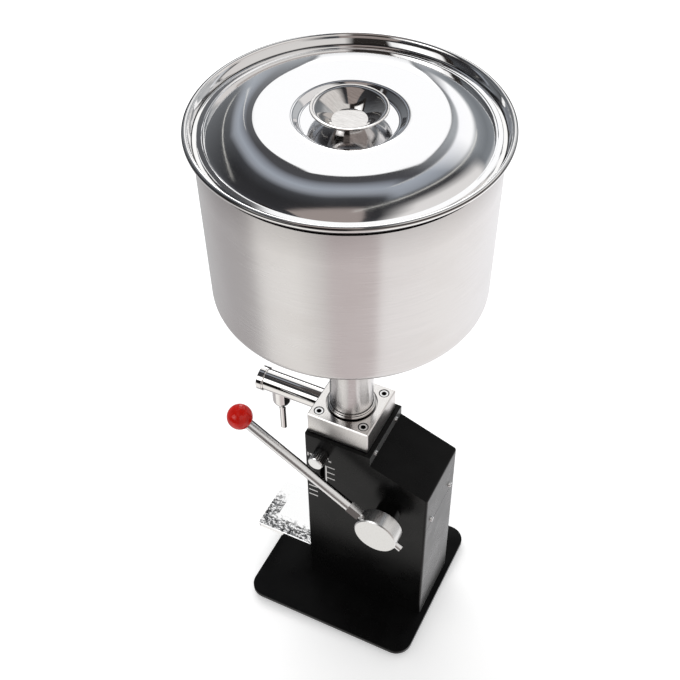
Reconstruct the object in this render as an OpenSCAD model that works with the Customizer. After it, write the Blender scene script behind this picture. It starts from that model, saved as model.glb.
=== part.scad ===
// Manual paste filling machine: a hopper over a valve block, a piston pump worked by a hand lever,
// and a height-adjustable tray for the bottle under the outlet.
// Millimetres. The origin is on the hopper's axis at the floor, +Z is up, -Y is the outlet side and
// +X is the lever side.

/* [Stand] */
// Width of the base plate
base_w = 200; // [180:1:240]
// Depth of the base plate
base_d = 218; // [200:1:260]
// Thickness of the base plate
base_t = 6; // [5:0.5:10]
// Corner radius of the base plate
base_corner_r = 20; // [10:1:30]
// How far the base plate sits to the lever side of the hopper's axis
base_shift_x = 4.5; // [0:0.5:8]
// How far the base plate sits behind the hopper's axis
base_shift_y = 11.25; // [8:0.25:15]
// Height of the rubber feet
foot_h = 8; // [7:0.5:14]
// Diameter of the rubber feet
foot_d = 28; // [22:1:34]
// Distance from each foot's centre to the plate's edges
foot_inset = 24; // [20:1:30]

/* [Housing] */
// Outside width of the housing
housing_w = 84.6; // [84:0.2:96]
// Height of the housing above the base plate
housing_h = 272.4; // [250:0.4:320]
// Distance from the hopper's axis to the front panel
housing_front = 39; // [39:0.5:48]
// Distance from the hopper's axis to the back of the upright part
neck_back = 42.4; // [40:0.2:50]
// Distance from the hopper's axis to the rear panel
housing_rear = 112.9; // [105:0.1:125]
// Drop from the top down to the upper end of the sloping cover
shoulder_drop = 13.4; // [12:0.1:16]
// Drop of the sloping cover from its upper end to its lower end
slope_drop = 26.1; // [15:0.1:40]
// Thickness of the housing's sheet steel
sheet_t = 2; // [1.5:0.1:3]
// Thickness of the cover's sheet steel
cover_t = 1.5; // [1:0.1:2]
// Height of the cover's rear flange
cover_flange_h = 57; // [45:1:70]
// Outside radius of the sheet's bends
bend_r = 3; // [2.5:0.1:5]
// Width of the flanges that stand on the base plate
floor_flange_w = 14; // [12:0.5:18]
// Thickness of the steel plate that carries the pump
top_plate_t = 12; // [10:0.5:13]

/* [Valve block] */
// Side of the square valve block
block_w = 74; // [73:0.5:78]
// Height of the valve block
block_h = 29.9; // [29:0.1:36]
// Chamfer along the block's edges
block_chamfer = 1.2; // [0.5:0.1:2]
// Distance of the four block screws from the axis, each way
block_screw_at = 27; // [26.5:0.1:28.5]
// Diameter of the valve chamber
chamber_d = 30; // [27:0.5:34]
// Diameter of the inlet ball
inlet_ball_d = 18; // [17:0.5:20]
// Share of the ball's diameter that its seat has
seat_share = 0.78; // [0.7:0.01:0.85]

/* [Pump] */
// Bore of the cylinder
bore_d = 40; // [36:0.5:43]
// Wall of the cylinder
cylinder_wall = 4; // [3:0.1:5]
// Stroke of the piston
stroke = 40; // [30:1:44]
// Length of the piston
piston_l = 15; // [14:0.5:20]
// Diameter of the piston rod
rod_d = 14; // [12:0.5:18]
// Diameter of the crosshead pin
pin_d = 8; // [7:0.5:10]

/* [Lever] */
// Distance from the hopper's axis back to the lever's shaft
shaft_back = 66.8; // [64:0.2:72]
// Diameter of the lever's shaft
shaft_d = 16; // [14:0.5:18]
// Diameter of the bearing bosses
boss_d = 28; // [27:0.5:34]
// How far the right bearing boss stands out of the housing
boss_l = 18; // [14:0.5:20]
// Diameter of the lever's hub
hub_d = 51; // [46:0.5:58]
// Thickness of the lever's hub
hub_t = 19.5; // [16:0.5:24]
// Angle of the lever above level at rest
lever_angle = 33; // [30:1:36]
// Distance from the shaft's axis to the middle of the ball
lever_reach = 202; // [180:1:230]
// Diameter of the lever's rod
lever_rod_d = 12; // [10:0.5:14]
// Diameter of the ball on the lever
ball_knob_d = 29; // [26:0.5:35]
// Thickness of the two swing arms
arm_t = 5; // [4:0.5:6]

/* [Volume stop] */
// How far forward of the hopper's axis the slot lies
stop_front = 18; // [17:0.5:20]
// Height of the stop block
stop_h = 22.6; // [18:0.2:23]
// Travel of the stop block down the slot
stop_travel = 45.7; // [30:0.1:46]
// Diameter of the volume knob
volume_knob_d = 18; // [16:0.5:24]
// Length of the volume knob
volume_knob_l = 14.1; // [10:0.1:18]
// Diameter of the knobs' studs
stud_d = 6; // [5:0.5:7]

/* [Hopper] */
// Height of the hopper's underside above the valve block
hopper_lift_h = 177.7; // [150:0.1:220]
// Height of the hopper from its underside to the lid's seat
hopper_depth = 187; // [150:1:220]
// Outside radius of the wall at the bottom
hopper_foot_r = 136.5; // [120:0.5:138]
// Outside radius of the wall under the rim
hopper_wall_r = 138.5; // [138:0.5:150]
// Thickness of the hopper's sheet
hopper_t = 1.2; // [1:0.1:1.6]
// Radius between the hopper's wall and its floor
hopper_corner_r = 13; // [8:1:20]
// How much the floor falls towards the neck
hopper_floor_fall = 3; // [1:0.5:6]
// Outside diameter of the neck pipe
neck_d = 48.2; // [46:0.2:50]
// Wall of the neck pipe
neck_t = 1.5; // [1.2:0.1:2]
// Outside diameter of the collar at the neck's foot
collar_d = 54; // [53:0.5:56]
// Height of the collar above the valve block
collar_h = 6.7; // [5:0.1:12]

/* [Lid] */
// Height of the lid's raised ring above its seat
lid_rise = 17; // [12:0.5:22]
// Depth of the sunk middle below the raised ring
lid_dish = 7.4; // [5:0.1:9]
// Thickness of the lid's sheet
lid_t = 1; // [0.8:0.1:1.2]
// Radius of the flared knob's lip
lid_knob_r = 35; // [30:0.5:40]
// Radius of the flared knob's foot
lid_knob_foot_r = 16; // [12:0.5:20]
// Height of the flared knob
lid_knob_h = 14.4; // [10:0.2:22]

/* [Outlet] */
// Outside diameter of the discharge tube
tube_d = 25.4; // [24:0.1:26]
// Wall of the discharge tube
tube_t = 1.6; // [1.2:0.1:2]
// Height of the tube's axis above the housing
tube_rise = 15.6; // [15.5:0.1:16.5]
// Distance from the hopper's axis to the outer face of the end cap
tube_reach = 116; // [110:0.5:134]
// Outside diameter of the end cap
cap_d = 28.4; // [28:0.1:31]
// Distance from the end cap's outer face back to the outlet
outlet_in = 26; // [23:0.5:30]
// Outside radius of the outlet cone at its top
cone_top_r = 11; // [10.5:0.1:12]
// Length of the outlet cone
cone_l = 26; // [25:0.5:32]
// Outside diameter of the spout
spout_d = 8; // [7.6:0.1:9]
// Length of the spout below the cone
spout_l = 34; // [20:1:50]
// Diameter of the outlet ball
outlet_ball_d = 12; // [11:0.25:12.5]

/* [Bottle tray] */
// Width of the tray
tray_w = 74.5; // [60:0.5:80]
// Depth of the tray in front of the housing
tray_d = 78; // [70:1:100]
// Height of the tray's top above the base plate
tray_h = 45; // [30:1:60]
// Height of the tray's turned-down edges
tray_lip_h = 5; // [4:0.5:8]
// Thickness of the tray's sheet
tray_t = 1.5; // [1.2:0.1:2]
// How far the tray can be raised
tray_travel = 50; // [30:1:60]
// Diameter of the tray's clamp knob
tray_knob_d = 22; // [18:0.5:26]
// Length of the tray's clamp knob
tray_knob_l = 13; // [10:0.5:16]

/* [Hidden] */
$fn = 72;
// Overrun of every cut past the surface it leaves
over = 1;
// Steps in each rounded corner of an outline
corner_steps = 5;

// Clearances
screw_fit = 0.1; // screws and studs in their holes, on the diameter
turn_fit = 0.1; // shafts and the piston in their bores, on the diameter
slide_gap = 0.3; // flat faces that slide past each other
seam = 0.6; // sheet edges that meet
pin_play = 0.9; // crosshead pin in the arms' slots, on the diameter
part_gap = 3; // moving pieces that pass beside the pump

// Levels
floor_z = foot_h + base_t;
top_z = floor_z + housing_h;
block_z = top_z + block_h;
shoulder_z = top_z - shoulder_drop;
side_x = housing_w/2;
inner_x = side_x - sheet_t;
slope_angle = atan(slope_drop/(housing_rear - neck_back));

// Base plate screws and feet
base_skin = 1; // steel left above each tapped hole
foot_screw_d = 4;
foot_screw_head_d = 8;
foot_screw_head_h = 2.6;
foot_taper = 1.5; // how much narrower the foot is at the floor, on the radius
foot_pad_h = 2; // rubber between the screw's head and the plate
foot_chamfer = 0.8;
housing_screw_d = 5;
housing_screw_head_d = 9;
housing_screw_head_h = 3;
housing_screw_inset = 18; // from the front and rear panels
floor_flange_t = 4;
base_hole_x = side_x - sheet_t - floor_flange_w/2;
base_hole_y = [-housing_front + housing_screw_inset, housing_rear - housing_screw_inset];
bend_share = 0.5; // how much of the sheet's thickness the inner bend's radius loses

// Cover and its screws
cover_foot_z = shoulder_z - slope_drop - cover_flange_h;
strap_t = 3;
strap_below = 12;
strap_above = 16;
cover_screw_d = 4;
cover_screw_head_d = 7;
cover_screw_head_h = 2.2;
cover_screw_l = 9;
cover_screw_x = 27; // each side of the middle
cover_screw_drop = 7; // below the top
cover_screw_rise = 8; // above the cover's lower edge
recess_w = 1;
recess_l = 4;
recess_depth = 1.2;

// Block screws
block_screw_d = 6;
block_head_d = 10;
block_head_h = 6;
block_head_room = 0.4; // how deep the heads sit below the block's top
head_pocket_d = 11;
block_screw_grip = 10; // length of thread in the top plate
hex_across = 5.8; // across the corners of the hexagon socket
hex_depth = 3;

// Valve block, from the bottom up
cup_disc_d = 43.8;
cup_disc_t = 3;
cup_bore_r = 5.25;
cup_wall = 1.75;
cup_drop = 7.4; // how far the spring's cup hangs below the block
cup_floor = 1.5;
flow_holes = 6;
flow_hole_r = 4;
flow_ring_r = 13.5;
seat_web = 1.5; // thickness of the block at the inlet seat
throat_l = 2.1; // length of the funnel above the seat
throat_r = 16;
spigot_r = 20;
spigot_wall = 3;
spigot_l = 3.5;
ring_r = 29; // sunk ring round the collar
ring_depth = 3;
port_r = 6; // passage from the chamber to the discharge tube
tube_z = top_z + tube_rise;
seat_r = inlet_ball_d*seat_share/2;
ring_z = block_z - ring_depth;
spigot_z = ring_z - spigot_l;
seat_z = spigot_z - throat_l - seat_web;
ball_r = inlet_ball_d/2;
inlet_ball_z = seat_z - sqrt(ball_r*ball_r - seat_r*seat_r);
socket_wall = 1; // steel left between the tube's socket and the sunk ring
socket_l = block_w/2 - ring_r - socket_wall;
neck_seal_r = 21.5;
neck_seal_w = 3;
neck_seal_h = 1.2;

// Pump
bore_r = bore_d/2;
cylinder_r = bore_r + cylinder_wall;
flange_w = 5; // how far the cylinder's flange stands out
flange_r = cylinder_r + flange_w;
flange_t = 5;
piston_gap = 2; // between the piston and the spring's cup at the top of the stroke
seal_land = 2;
seal_h = 3.5;
seal_depth = 3;
seal_space = 1.5;
seals = 2;
seal_cover = 2.1; // cylinder left below the top seal at the bottom of the stroke
pin_gap = 2; // between the crosshead pin and the cylinder at the top of the stroke
piston_high_z = top_z - cup_drop - piston_gap;
piston_z = piston_high_z - stroke;
cylinder_z = piston_z - seal_land - seal_h - seal_cover;
pin_r = pin_d/2;
pin_high_z = cylinder_z - pin_gap - pin_r;
pin_z = pin_high_z - stroke;
eye_wall = 6; // metal round the pin, in the rod's eye and in the arms' ends
eye_r = pin_r + eye_wall;
eye_w = 20;
rod_stud_r = 5;
rod_stud_l = 10;
clip_t = 1;
clip_wall = 2;
clip_groove = 0.6;
pin_tail = 1; // pin left outside each clip

// Swing arms
shaft_z = pin_high_z - stroke/2;
shaft_r = shaft_d/2;
swing = atan(stroke/2/shaft_back); // each side of level
arm_x = cylinder_r + part_gap;
pin_half = arm_x + arm_t + slide_gap + clip_t + pin_tail;
arm_hub_r = shaft_r + eye_wall;
arm_end_r = pin_r + eye_wall;
slot_r = (pin_d + pin_play)/2;
slot_in = shaft_back - pin_play/2;
slot_out = shaft_back/cos(swing) + pin_play/2;
nose_r = 5;
horn_share = 0.8; // of the arm's half width, for the horn's root
stop_head_room = 2.1; // between the stop block and the top plate
stop_z = top_z - top_plate_t - stop_head_room - stop_h/2;
nose_y = -stop_front;
nose_z = stop_z - stop_h/2 - slide_gap - nose_r;
// The nose in the arm's own directions: along the arm, and square to it
nose_along = (shaft_back - nose_y)*cos(swing) + (nose_z - shaft_z)*sin(swing);
nose_up = (nose_z - shaft_z)*cos(swing) - (shaft_back - nose_y)*sin(swing);

// Bearings
bush_r = shaft_r + 2;
bush_flange_r = bush_r + 3;
bush_flange_t = 2;
left_boss_l = 6;
boss_r = boss_d/2;
hub_gap = 0.7;
hub_x = side_x + boss_l + hub_gap;
shaft_end_share = 0.77; // of the hub's thickness
retainer_x = -side_x - bush_flange_t - slide_gap;
retainer_t = 1.5;
retainer_groove = 0.8;
retainer_wall = 3;
shaft_tail = 2; // shaft left outside the retaining ring

// Lever
hub_chamfer = 1.2;
thread_r = 4;
rod_x = hub_x + hub_t/2;
thread_tail = 8; // thread standing out past the hub
nut_r = 7.6; // across the corners
nut_l = 16;
nut_off = 2.5; // from the hub's rim to the nut
rod_start = hub_d/2 + nut_off + nut_l;
ball_flat_share = 0.93; // of the ball's radius, where it is cut flat for the rod
rod_end = lever_reach - ball_knob_d/2*ball_flat_share;
ball_thread_l = 16;

// Volume stop
stop_side = 1; // how far the stop block reaches inwards past the arm
stop_x = arm_x - stop_side;
stop_w = 18;
stud_r = stud_d/2;
slot_play = 0.25; // each side of a stud in its slot
slot_half = stud_r + slot_play;
washer_r = 8;
washer_t = 1.1;
stud_in = 10; // length of stud in the stop block
knob_floor = 3;
knob_chamfer = 0.8;

// Hopper
hopper_z = block_z + hopper_lift_h;
rest_z = hopper_z + hopper_depth; // the lid's seat
neck_r = neck_d/2;
collar_floor = 2;
collar_round = 2.5; // radius of the collar's top edge
bead_r = 2.7;
ledge_in = 7; // how far the seat reaches inwards of the wall
ledge_out = 3.7; // how far the rim's wall stands outside the body's wall
rim_flare = 2.6; // how much the rim's wall widens from the seat to the bead
fold_h = 3.8; // from the wall's fold up to the seat
fold_rise = 1.4; // how much the fold climbs on its way in
rim_h = 7.3; // from the seat to the bead's middle
rim_bend_r = 1.5;

// Lid
lid_set_in = 4.2; // from the hopper's wall in to the lid's edge
lid_r = hopper_wall_r - lid_set_in;
lid_edge_h = 1.9;
lid_edge_w = 4.8;
lid_roll_w = 2.5;
lid_crown_share = 0.625; // radius of the raised ring, of the lid's radius
lid_inner_share = 0.371; // radius where the raised ring ends inwards
lid_middle_share = 0.322; // radius of the flat middle
lid_step = 6.2; // height of the step round the flat middle
step_round = 2.5; // radius at the step's top and foot
lid_crown_z = rest_z + lid_rise;
lid_middle_z = lid_crown_z - lid_dish;
crown_round = 30; // radius over the raised ring
lip_w = 3;
lip_t = 1.2;
flare_share = 0.35; // how much of the knob's spread comes near its lip
flare_steps = 8;

// Outlet
tube_r = tube_d/2;
cap_r = cap_d/2;
cap_l = 8.5;
cap_floor = 2;
cap_seal_t = 1.5;
cap_chamfer = 0.6;
cap_groove_off = 1.1; // from the cap's inner end to its groove
cap_groove_w = 0.9;
cap_groove_depth = 0.6;
outlet_front = tube_reach - outlet_in;
spout_step = 0.4; // how much thinner the spout's root in the cone is, on the radius
spout_step_l = 0.5; // from the step up to the cone's end
cone_lip = 0.4; // how far the cone's end stands out past the spout, on the radius
cone_end_r = spout_d/2 + cone_lip;
cone_neck_h = 3; // straight neck at the cone's end
cone_taper_h = 11; // from the neck up to the full radius
cone_neck_round = 2;
cone_shoulder_round = 9;
saddle_drop = 1.3; // from the tube's underside down to the cone
cone_z = tube_z - tube_r - saddle_drop;
outlet_seat_h = 4;
outlet_plug_r = 8.5;
outlet_seat_share = 0.75; // of the outlet ball's diameter
outlet_seat_r = outlet_ball_d*outlet_seat_share/2;
outlet_ball_r = outlet_ball_d/2;
outlet_seat_z = cone_z - outlet_seat_h;
outlet_ball_z = outlet_seat_z - sqrt(outlet_ball_r*outlet_ball_r - outlet_seat_r*outlet_seat_r);
cone_low_z = cone_z - cone_l;
spout_in = 5;
ledge_t = 1;
ledge_z = cone_low_z + spout_in + ledge_t;
spout_wall = 1.5;
spout_bore_r = spout_d/2 - spout_wall;
spout_root_r = spout_d/2 - spout_step;
cone_ledge_r = 3.7;

// Springs
wire_sides = 6;
curl_rings = 8;
inlet_wire_r = 0.5;
inlet_coil_r = 4;
inlet_curls = 6;
outlet_wire_r = 0.4;
outlet_coil_r = 3;
outlet_curls = 4;
spring_play = 0.05; // between a spring and its ball

// Bottle tray
tray_z = floor_z + tray_h;
tray_back_y = -housing_front - slide_gap;
tray_front_y = -housing_front - tray_d;
tray_slot_rise = 12; // from the tray's top to the middle of the slot's lower end
tray_knob_z = tray_z + tray_travel + tray_slot_rise;
tray_flange_over = 11; // flange above the clamp knob's middle
tray_corner_r = 4;
nut_plate_w = 24;
nut_plate_t = 4;
tray_knob_ribs = 10;
rib_r = 2.2;
shoulder_l = 1.5;

function unit(v) = v/norm(v);

// A corner of an outline, as an arc of radius r that touches both of its sides
function round_corner(before, p, after, r) =
    r == 0 ? [p] :
    let (u = unit(before - p), v = unit(after - p), half = acos(u*v)/2)
    let (c = p + unit(u + v)*r/sin(half), s = p + u*r/tan(half) - c, e = p + v*r/tan(half) - c)
    let (a = atan2(s.y, s.x), turn = (atan2(e.y, e.x) - a + 540)%360 - 180)
    [for (i = [0:corner_steps]) let (t = a + turn*i/corner_steps) c + r*[cos(t), sin(t)]];

// An outline with a radius for each of its points
function rounded(pts, radii) =
    let (n = len(pts))
    [for (i = [0:n - 1]) each round_corner(pts[(i + n - 1)%n], pts[i], pts[(i + 1)%n], radii[i])];

// Height of the cover's slope at a place y, moved in by a depth square to the sheet
function slope_z(y, depth) = shoulder_z - (y - neck_back)*tan(slope_angle) - depth/cos(slope_angle);

// Round bars, plates and rings along the three axes
module x_bar(x0, x1, r, y, z) {
    translate([x0, y, z]) rotate([0, 90, 0]) cylinder(h = x1 - x0, r = r);
}

module y_bar(y0, y1, r, x, z) {
    translate([x, y1, z]) rotate([90, 0, 0]) cylinder(h = y1 - y0, r = r);
}

module z_bar(z0, z1, r, x = 0, y = 0) {
    translate([x, y, z0]) cylinder(h = z1 - z0, r = r);
}

module z_cone(z0, z1, r0, r1, x = 0, y = 0) {
    translate([x, y, z0]) cylinder(h = z1 - z0, r1 = r0, r2 = r1);
}

// Extrudes an outline drawn in Y and Z along X
module along_x(x0, x1) {
    translate([x0, 0, 0]) rotate([90, 0, 90]) linear_extrude(x1 - x0) children();
}

module z_ring(z0, z1, r_out, r_in, x = 0, y = 0) {
    difference() {
        z_bar(z0, z1, r_out, x, y);
        z_bar(z0 - over, z1 + over, r_in, x, y);
    }
}

module x_ring(x0, x1, r_out, r_in, y, z) {
    difference() {
        x_bar(x0, x1, r_out, y, z);
        x_bar(x0 - over, x1 + over, r_in, y, z);
    }
}

// A disc with both of its edges chamfered, standing on z = 0
module chamfered_disc(r, h, c) {
    rotate_extrude() polygon([[0, 0], [r - c, 0], [r, c], [r, h - c], [r - c, h], [0, h]]);
}

module rounded_rect(w, d, r) {
    square([w - 2*r, d], center = true);
    square([w, d - 2*r], center = true);
    for (x = [-1, 1], y = [-1, 1]) translate([x*(w/2 - r), y*(d/2 - r)]) circle(r);
}

// A slot's outline along Y in two dimensions, from the first round end's centre to the last one's
module slot_2d(from, to, r) {
    translate(from) circle(r);
    translate(to) circle(r);
    translate((from + to)/2) rotate(atan2(to.y - from.y, to.x - from.x))
        square([norm(to - from), 2*r], center = true);
}

// Pan-head screw along Z, its head standing on z = 0 and its shank below
module pan_screw(shank_d, l, head_d, head_h) {
    difference() {
        union() {
            z_cone(0, head_h, head_d/2, head_d/2 - head_h/3);
            z_bar(-l, 0, shank_d/2);
        }
        for (a = [0, 90]) rotate(a) translate([0, 0, head_h])
            cube([recess_l, recess_w, 2*recess_depth], true);
    }
}

// Socket cap screw along Z, the underside of its head at z = 0
module cap_screw(shank_d, l, head_d, head_h) {
    difference() {
        union() {
            z_bar(0, head_h, head_d/2);
            z_bar(-l, 0, shank_d/2);
        }
        translate([0, 0, head_h - hex_depth]) cylinder(h = hex_depth + over, r = hex_across/2, $fn = 6);
    }
}

// Coil spring along Z from z0 to z1, as one swept tube with closed ends
function coil_axis(z0, z1, r, wire_r, curls) =
    let (n = curls*curl_rings, rise = z1 - z0 - 2*wire_r)
    [for (i = [0:n]) let (a = 360*i/curl_rings) [r*cos(a), r*sin(a), z0 + wire_r + rise*i/n]];

module coil(z0, z1, r, wire_r, curls) {
    axis = coil_axis(z0, z1, r, wire_r, curls);
    n = len(axis);
    lean = atan((z1 - z0 - 2*wire_r)/curls/(2*PI*r));
    pts = [for (i = [0:n - 1]) let (a = 360*i/curl_rings, out = [cos(a), sin(a), 0])
        let (up = [sin(a)*sin(lean), -cos(a)*sin(lean), cos(lean)])
        for (j = [0:wire_sides - 1]) let (b = 360*j/wire_sides) axis[i] + wire_r*(cos(b)*out + sin(b)*up)];
    sides = [for (i = [0:n - 2], j = [0:wire_sides - 1])
        let (k = (j + 1)%wire_sides, p = i*wire_sides, q = p + wire_sides)
        each [[p + j, p + k, q + k], [p + j, q + k, q + j]]];
    first = [for (j = [1:wire_sides - 2]) [0, j + 1, j]];
    last_ring = (n - 1)*wire_sides;
    last = [for (j = [1:wire_sides - 2]) [last_ring, last_ring + j, last_ring + j + 1]];
    gap = min([for (i = [0:n - curl_rings - 1], k = [curl_rings - 1:curl_rings + 1])
        if (i + k < n) norm(axis[i] - axis[i + k]) - 2*wire_r]);
    echo("least gap between the curls, mm", gap);
    polyhedron(pts, concat(sides, first, last));
}

// Horizontal section of the housing, with its bent corners rounded
module housing_plan(inset) {
    w = housing_w - 2*inset;
    d = housing_rear + housing_front - 2*inset;
    translate([0, (housing_rear - housing_front)/2]) rounded_rect(w, d, bend_r - inset*bend_share);
}

module base_plate() {
    color([0.09, 0.09, 0.09]) difference() {
        translate([base_shift_x, base_shift_y, foot_h]) linear_extrude(base_t)
            rounded_rect(base_w, base_d, base_corner_r);
        for (x = [-1, 1], y = [-1, 1])
            z_bar(foot_h - over, floor_z - base_skin, (foot_screw_d + screw_fit)/2,
                base_shift_x + x*(base_w/2 - foot_inset), base_shift_y + y*(base_d/2 - foot_inset));
        for (x = [-1, 1], y = base_hole_y)
            z_bar(foot_h - over, floor_z + over, (housing_screw_d + screw_fit)/2, x*base_hole_x, y);
    }
}

module at_feet() {
    for (x = [-1, 1], y = [-1, 1])
        translate([base_shift_x + x*(base_w/2 - foot_inset), base_shift_y + y*(base_d/2 - foot_inset), 0])
            children();
}

module rubber_feet() {
    r = foot_d/2;
    color([0.12, 0.12, 0.12]) at_feet() difference() {
        rotate_extrude() polygon([
            [0, 0], [r - foot_taper - foot_chamfer, 0], [r - foot_taper, foot_chamfer], [r, foot_h],
            [0, foot_h]
        ]);
        z_bar(-over, foot_h - foot_pad_h, foot_screw_head_d/2 + screw_fit);
        z_bar(-over, foot_h + over, (foot_screw_d + screw_fit)/2);
    }
}

module foot_screws() {
    color([0.7, 0.7, 0.7]) at_feet() translate([0, 0, foot_h - foot_pad_h]) rotate([180, 0, 0])
        pan_screw(foot_screw_d, foot_pad_h + base_t - 2*base_skin, foot_screw_head_d, foot_screw_head_h);
}

module housing_shell() {
    low_y = housing_rear - cover_t;
    high_y = neck_back - cover_t;
    outline = [
        [-housing_front, floor_z], [housing_rear, floor_z], [housing_rear, cover_foot_z - seam],
        [low_y, cover_foot_z - seam], [low_y, slope_z(low_y, cover_t)], [high_y, slope_z(high_y, cover_t)],
        [high_y, top_z], [-housing_front, top_z]
    ];
    hollow = [
        [-housing_front + sheet_t, floor_z - over], [housing_rear - sheet_t, floor_z - over],
        [housing_rear - sheet_t, cover_foot_z], [housing_rear + over, cover_foot_z],
        [housing_rear + over, top_z + over], [-housing_front + sheet_t, top_z + over]
    ];
    strap_y = low_y - strap_t;
    color([0.1, 0.1, 0.1]) difference() {
        union() {
            difference() {
                intersection() {
                    along_x(-side_x, side_x) polygon(outline);
                    translate([0, 0, floor_z]) linear_extrude(housing_h) housing_plan(0);
                }
                intersection() {
                    along_x(-inner_x, inner_x) polygon(hollow);
                    translate([0, 0, floor_z - over]) linear_extrude(cover_foot_z - floor_z + over)
                        housing_plan(sheet_t);
                }
                along_x(-inner_x, inner_x) polygon([
                    [-housing_front + sheet_t, cover_foot_z - over], [high_y + over, cover_foot_z - over],
                    [high_y + over, top_z + over], [-housing_front + sheet_t, top_z + over]
                ]);
                along_x(-inner_x, inner_x) polygon([
                    [high_y, cover_foot_z - seam], [housing_rear + over, cover_foot_z - seam],
                    [housing_rear + over, top_z + over], [high_y, top_z + over]
                ]);
            }
            for (x = [-1, 1]) translate([x*(inner_x - floor_flange_w/2 + sheet_t/4), 0, 0])
                centred_box(floor_flange_w + sheet_t/2, -housing_front + sheet_t/2,
                    housing_rear - sheet_t/2, floor_z, floor_z + floor_flange_t);
            centred_box(2*inner_x + sheet_t, strap_y, low_y, cover_foot_z - strap_below,
                cover_foot_z + strap_above);
        }
        x_bar(-side_x - over, side_x + over, bush_r, shaft_back, shaft_z);
        along_x(inner_x - over, side_x + over) slot_2d([-stop_front, stop_z - stop_travel],
            [-stop_front, stop_z], slot_half);
        y_bar(-housing_front - over, -housing_front + sheet_t + over, (stud_d + screw_fit)/2, 0, tray_knob_z);
        for (x = [-1, 1]) {
            y_bar(strap_y - over, housing_rear + over, (cover_screw_d + screw_fit)/2, x*cover_screw_x,
                cover_foot_z + cover_screw_rise);
            for (y = base_hole_y)
                z_bar(floor_z - over, floor_z + floor_flange_t + over, (housing_screw_d + screw_fit)/2,
                    x*base_hole_x, y);
        }
    }
}

// A box centred on X, from y0 to y1 and from z0 to z1
module centred_box(w, y0, y1, z0, z1) {
    translate([-w/2, y0, z0]) cube([w, y1 - y0, z1 - z0]);
}

module housing_screws() {
    color([0.7, 0.7, 0.7]) for (x = [-1, 1], y = base_hole_y)
        translate([x*base_hole_x, y, foot_h]) rotate([180, 0, 0])
            cap_screw(housing_screw_d, base_t + floor_flange_t, housing_screw_head_d, housing_screw_head_h);
}

module access_cover() {
    low_y = housing_rear - cover_t;
    high_y = neck_back - cover_t;
    band = rounded([
        [neck_back, top_z], [high_y, top_z], [high_y, slope_z(high_y, cover_t)],
        [low_y, slope_z(low_y, cover_t)], [low_y, cover_foot_z], [housing_rear, cover_foot_z],
        [housing_rear, slope_z(housing_rear, 0)], [neck_back, shoulder_z]
    ], [0, 0, 0, 0, 0, 0, bend_r, 0]);
    color([0.1, 0.1, 0.1]) difference() {
        intersection() {
            along_x(-side_x, side_x) polygon(band);
            translate([0, 0, cover_foot_z]) linear_extrude(top_z - cover_foot_z) housing_plan(0);
        }
        at_cover_screws(over);
    }
}

// The holes for the cover's four screws, cut right through the cover
module at_cover_screws(past) {
    for (x = [-1, 1]) {
        y_bar(neck_back - cover_t - past, neck_back + past, (cover_screw_d + screw_fit)/2,
            x*cover_screw_x, top_z - cover_screw_drop);
        y_bar(housing_rear - cover_t - past, housing_rear + past, (cover_screw_d + screw_fit)/2,
            x*cover_screw_x, cover_foot_z + cover_screw_rise);
    }
}

module cover_screws() {
    color([0.75, 0.75, 0.75]) for (x = [-1, 1]) {
        translate([x*cover_screw_x, neck_back, top_z - cover_screw_drop]) rotate([-90, 0, 0])
            pan_screw(cover_screw_d, cover_screw_l, cover_screw_head_d, cover_screw_head_h);
        translate([x*cover_screw_x, housing_rear, cover_foot_z + cover_screw_rise]) rotate([-90, 0, 0])
            pan_screw(cover_screw_d, cover_screw_l, cover_screw_head_d, cover_screw_head_h);
    }
}

module top_plate() {
    back_y = neck_back - cover_t;
    color([0.1, 0.1, 0.1]) difference() {
        centred_box(2*inner_x, -housing_front + sheet_t, back_y, top_z - top_plate_t, top_z);
        z_bar(top_z - top_plate_t - over, top_z + over, cylinder_r + screw_fit/2);
        z_bar(top_z - flange_t, top_z + over, flange_r + screw_fit/2);
        for (x = [-1, 1], y = [-1, 1])
            z_bar(top_z - top_plate_t - over, top_z + over, (block_screw_d + screw_fit)/2,
                x*block_screw_at, y*block_screw_at);
        for (x = [-1, 1])
            y_bar(neck_back - cover_screw_l - over, back_y + over, (cover_screw_d + screw_fit)/2,
                x*cover_screw_x, top_z - cover_screw_drop);
    }
}

// A square with its corners cut off
module chamfered_rect(w, h, c) {
    polygon([
        [c - w/2, -h/2], [w/2 - c, -h/2], [w/2, c - h/2], [w/2, h/2 - c],
        [w/2 - c, h/2], [c - w/2, h/2], [-w/2, h/2 - c], [-w/2, c - h/2]
    ]);
}

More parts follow.
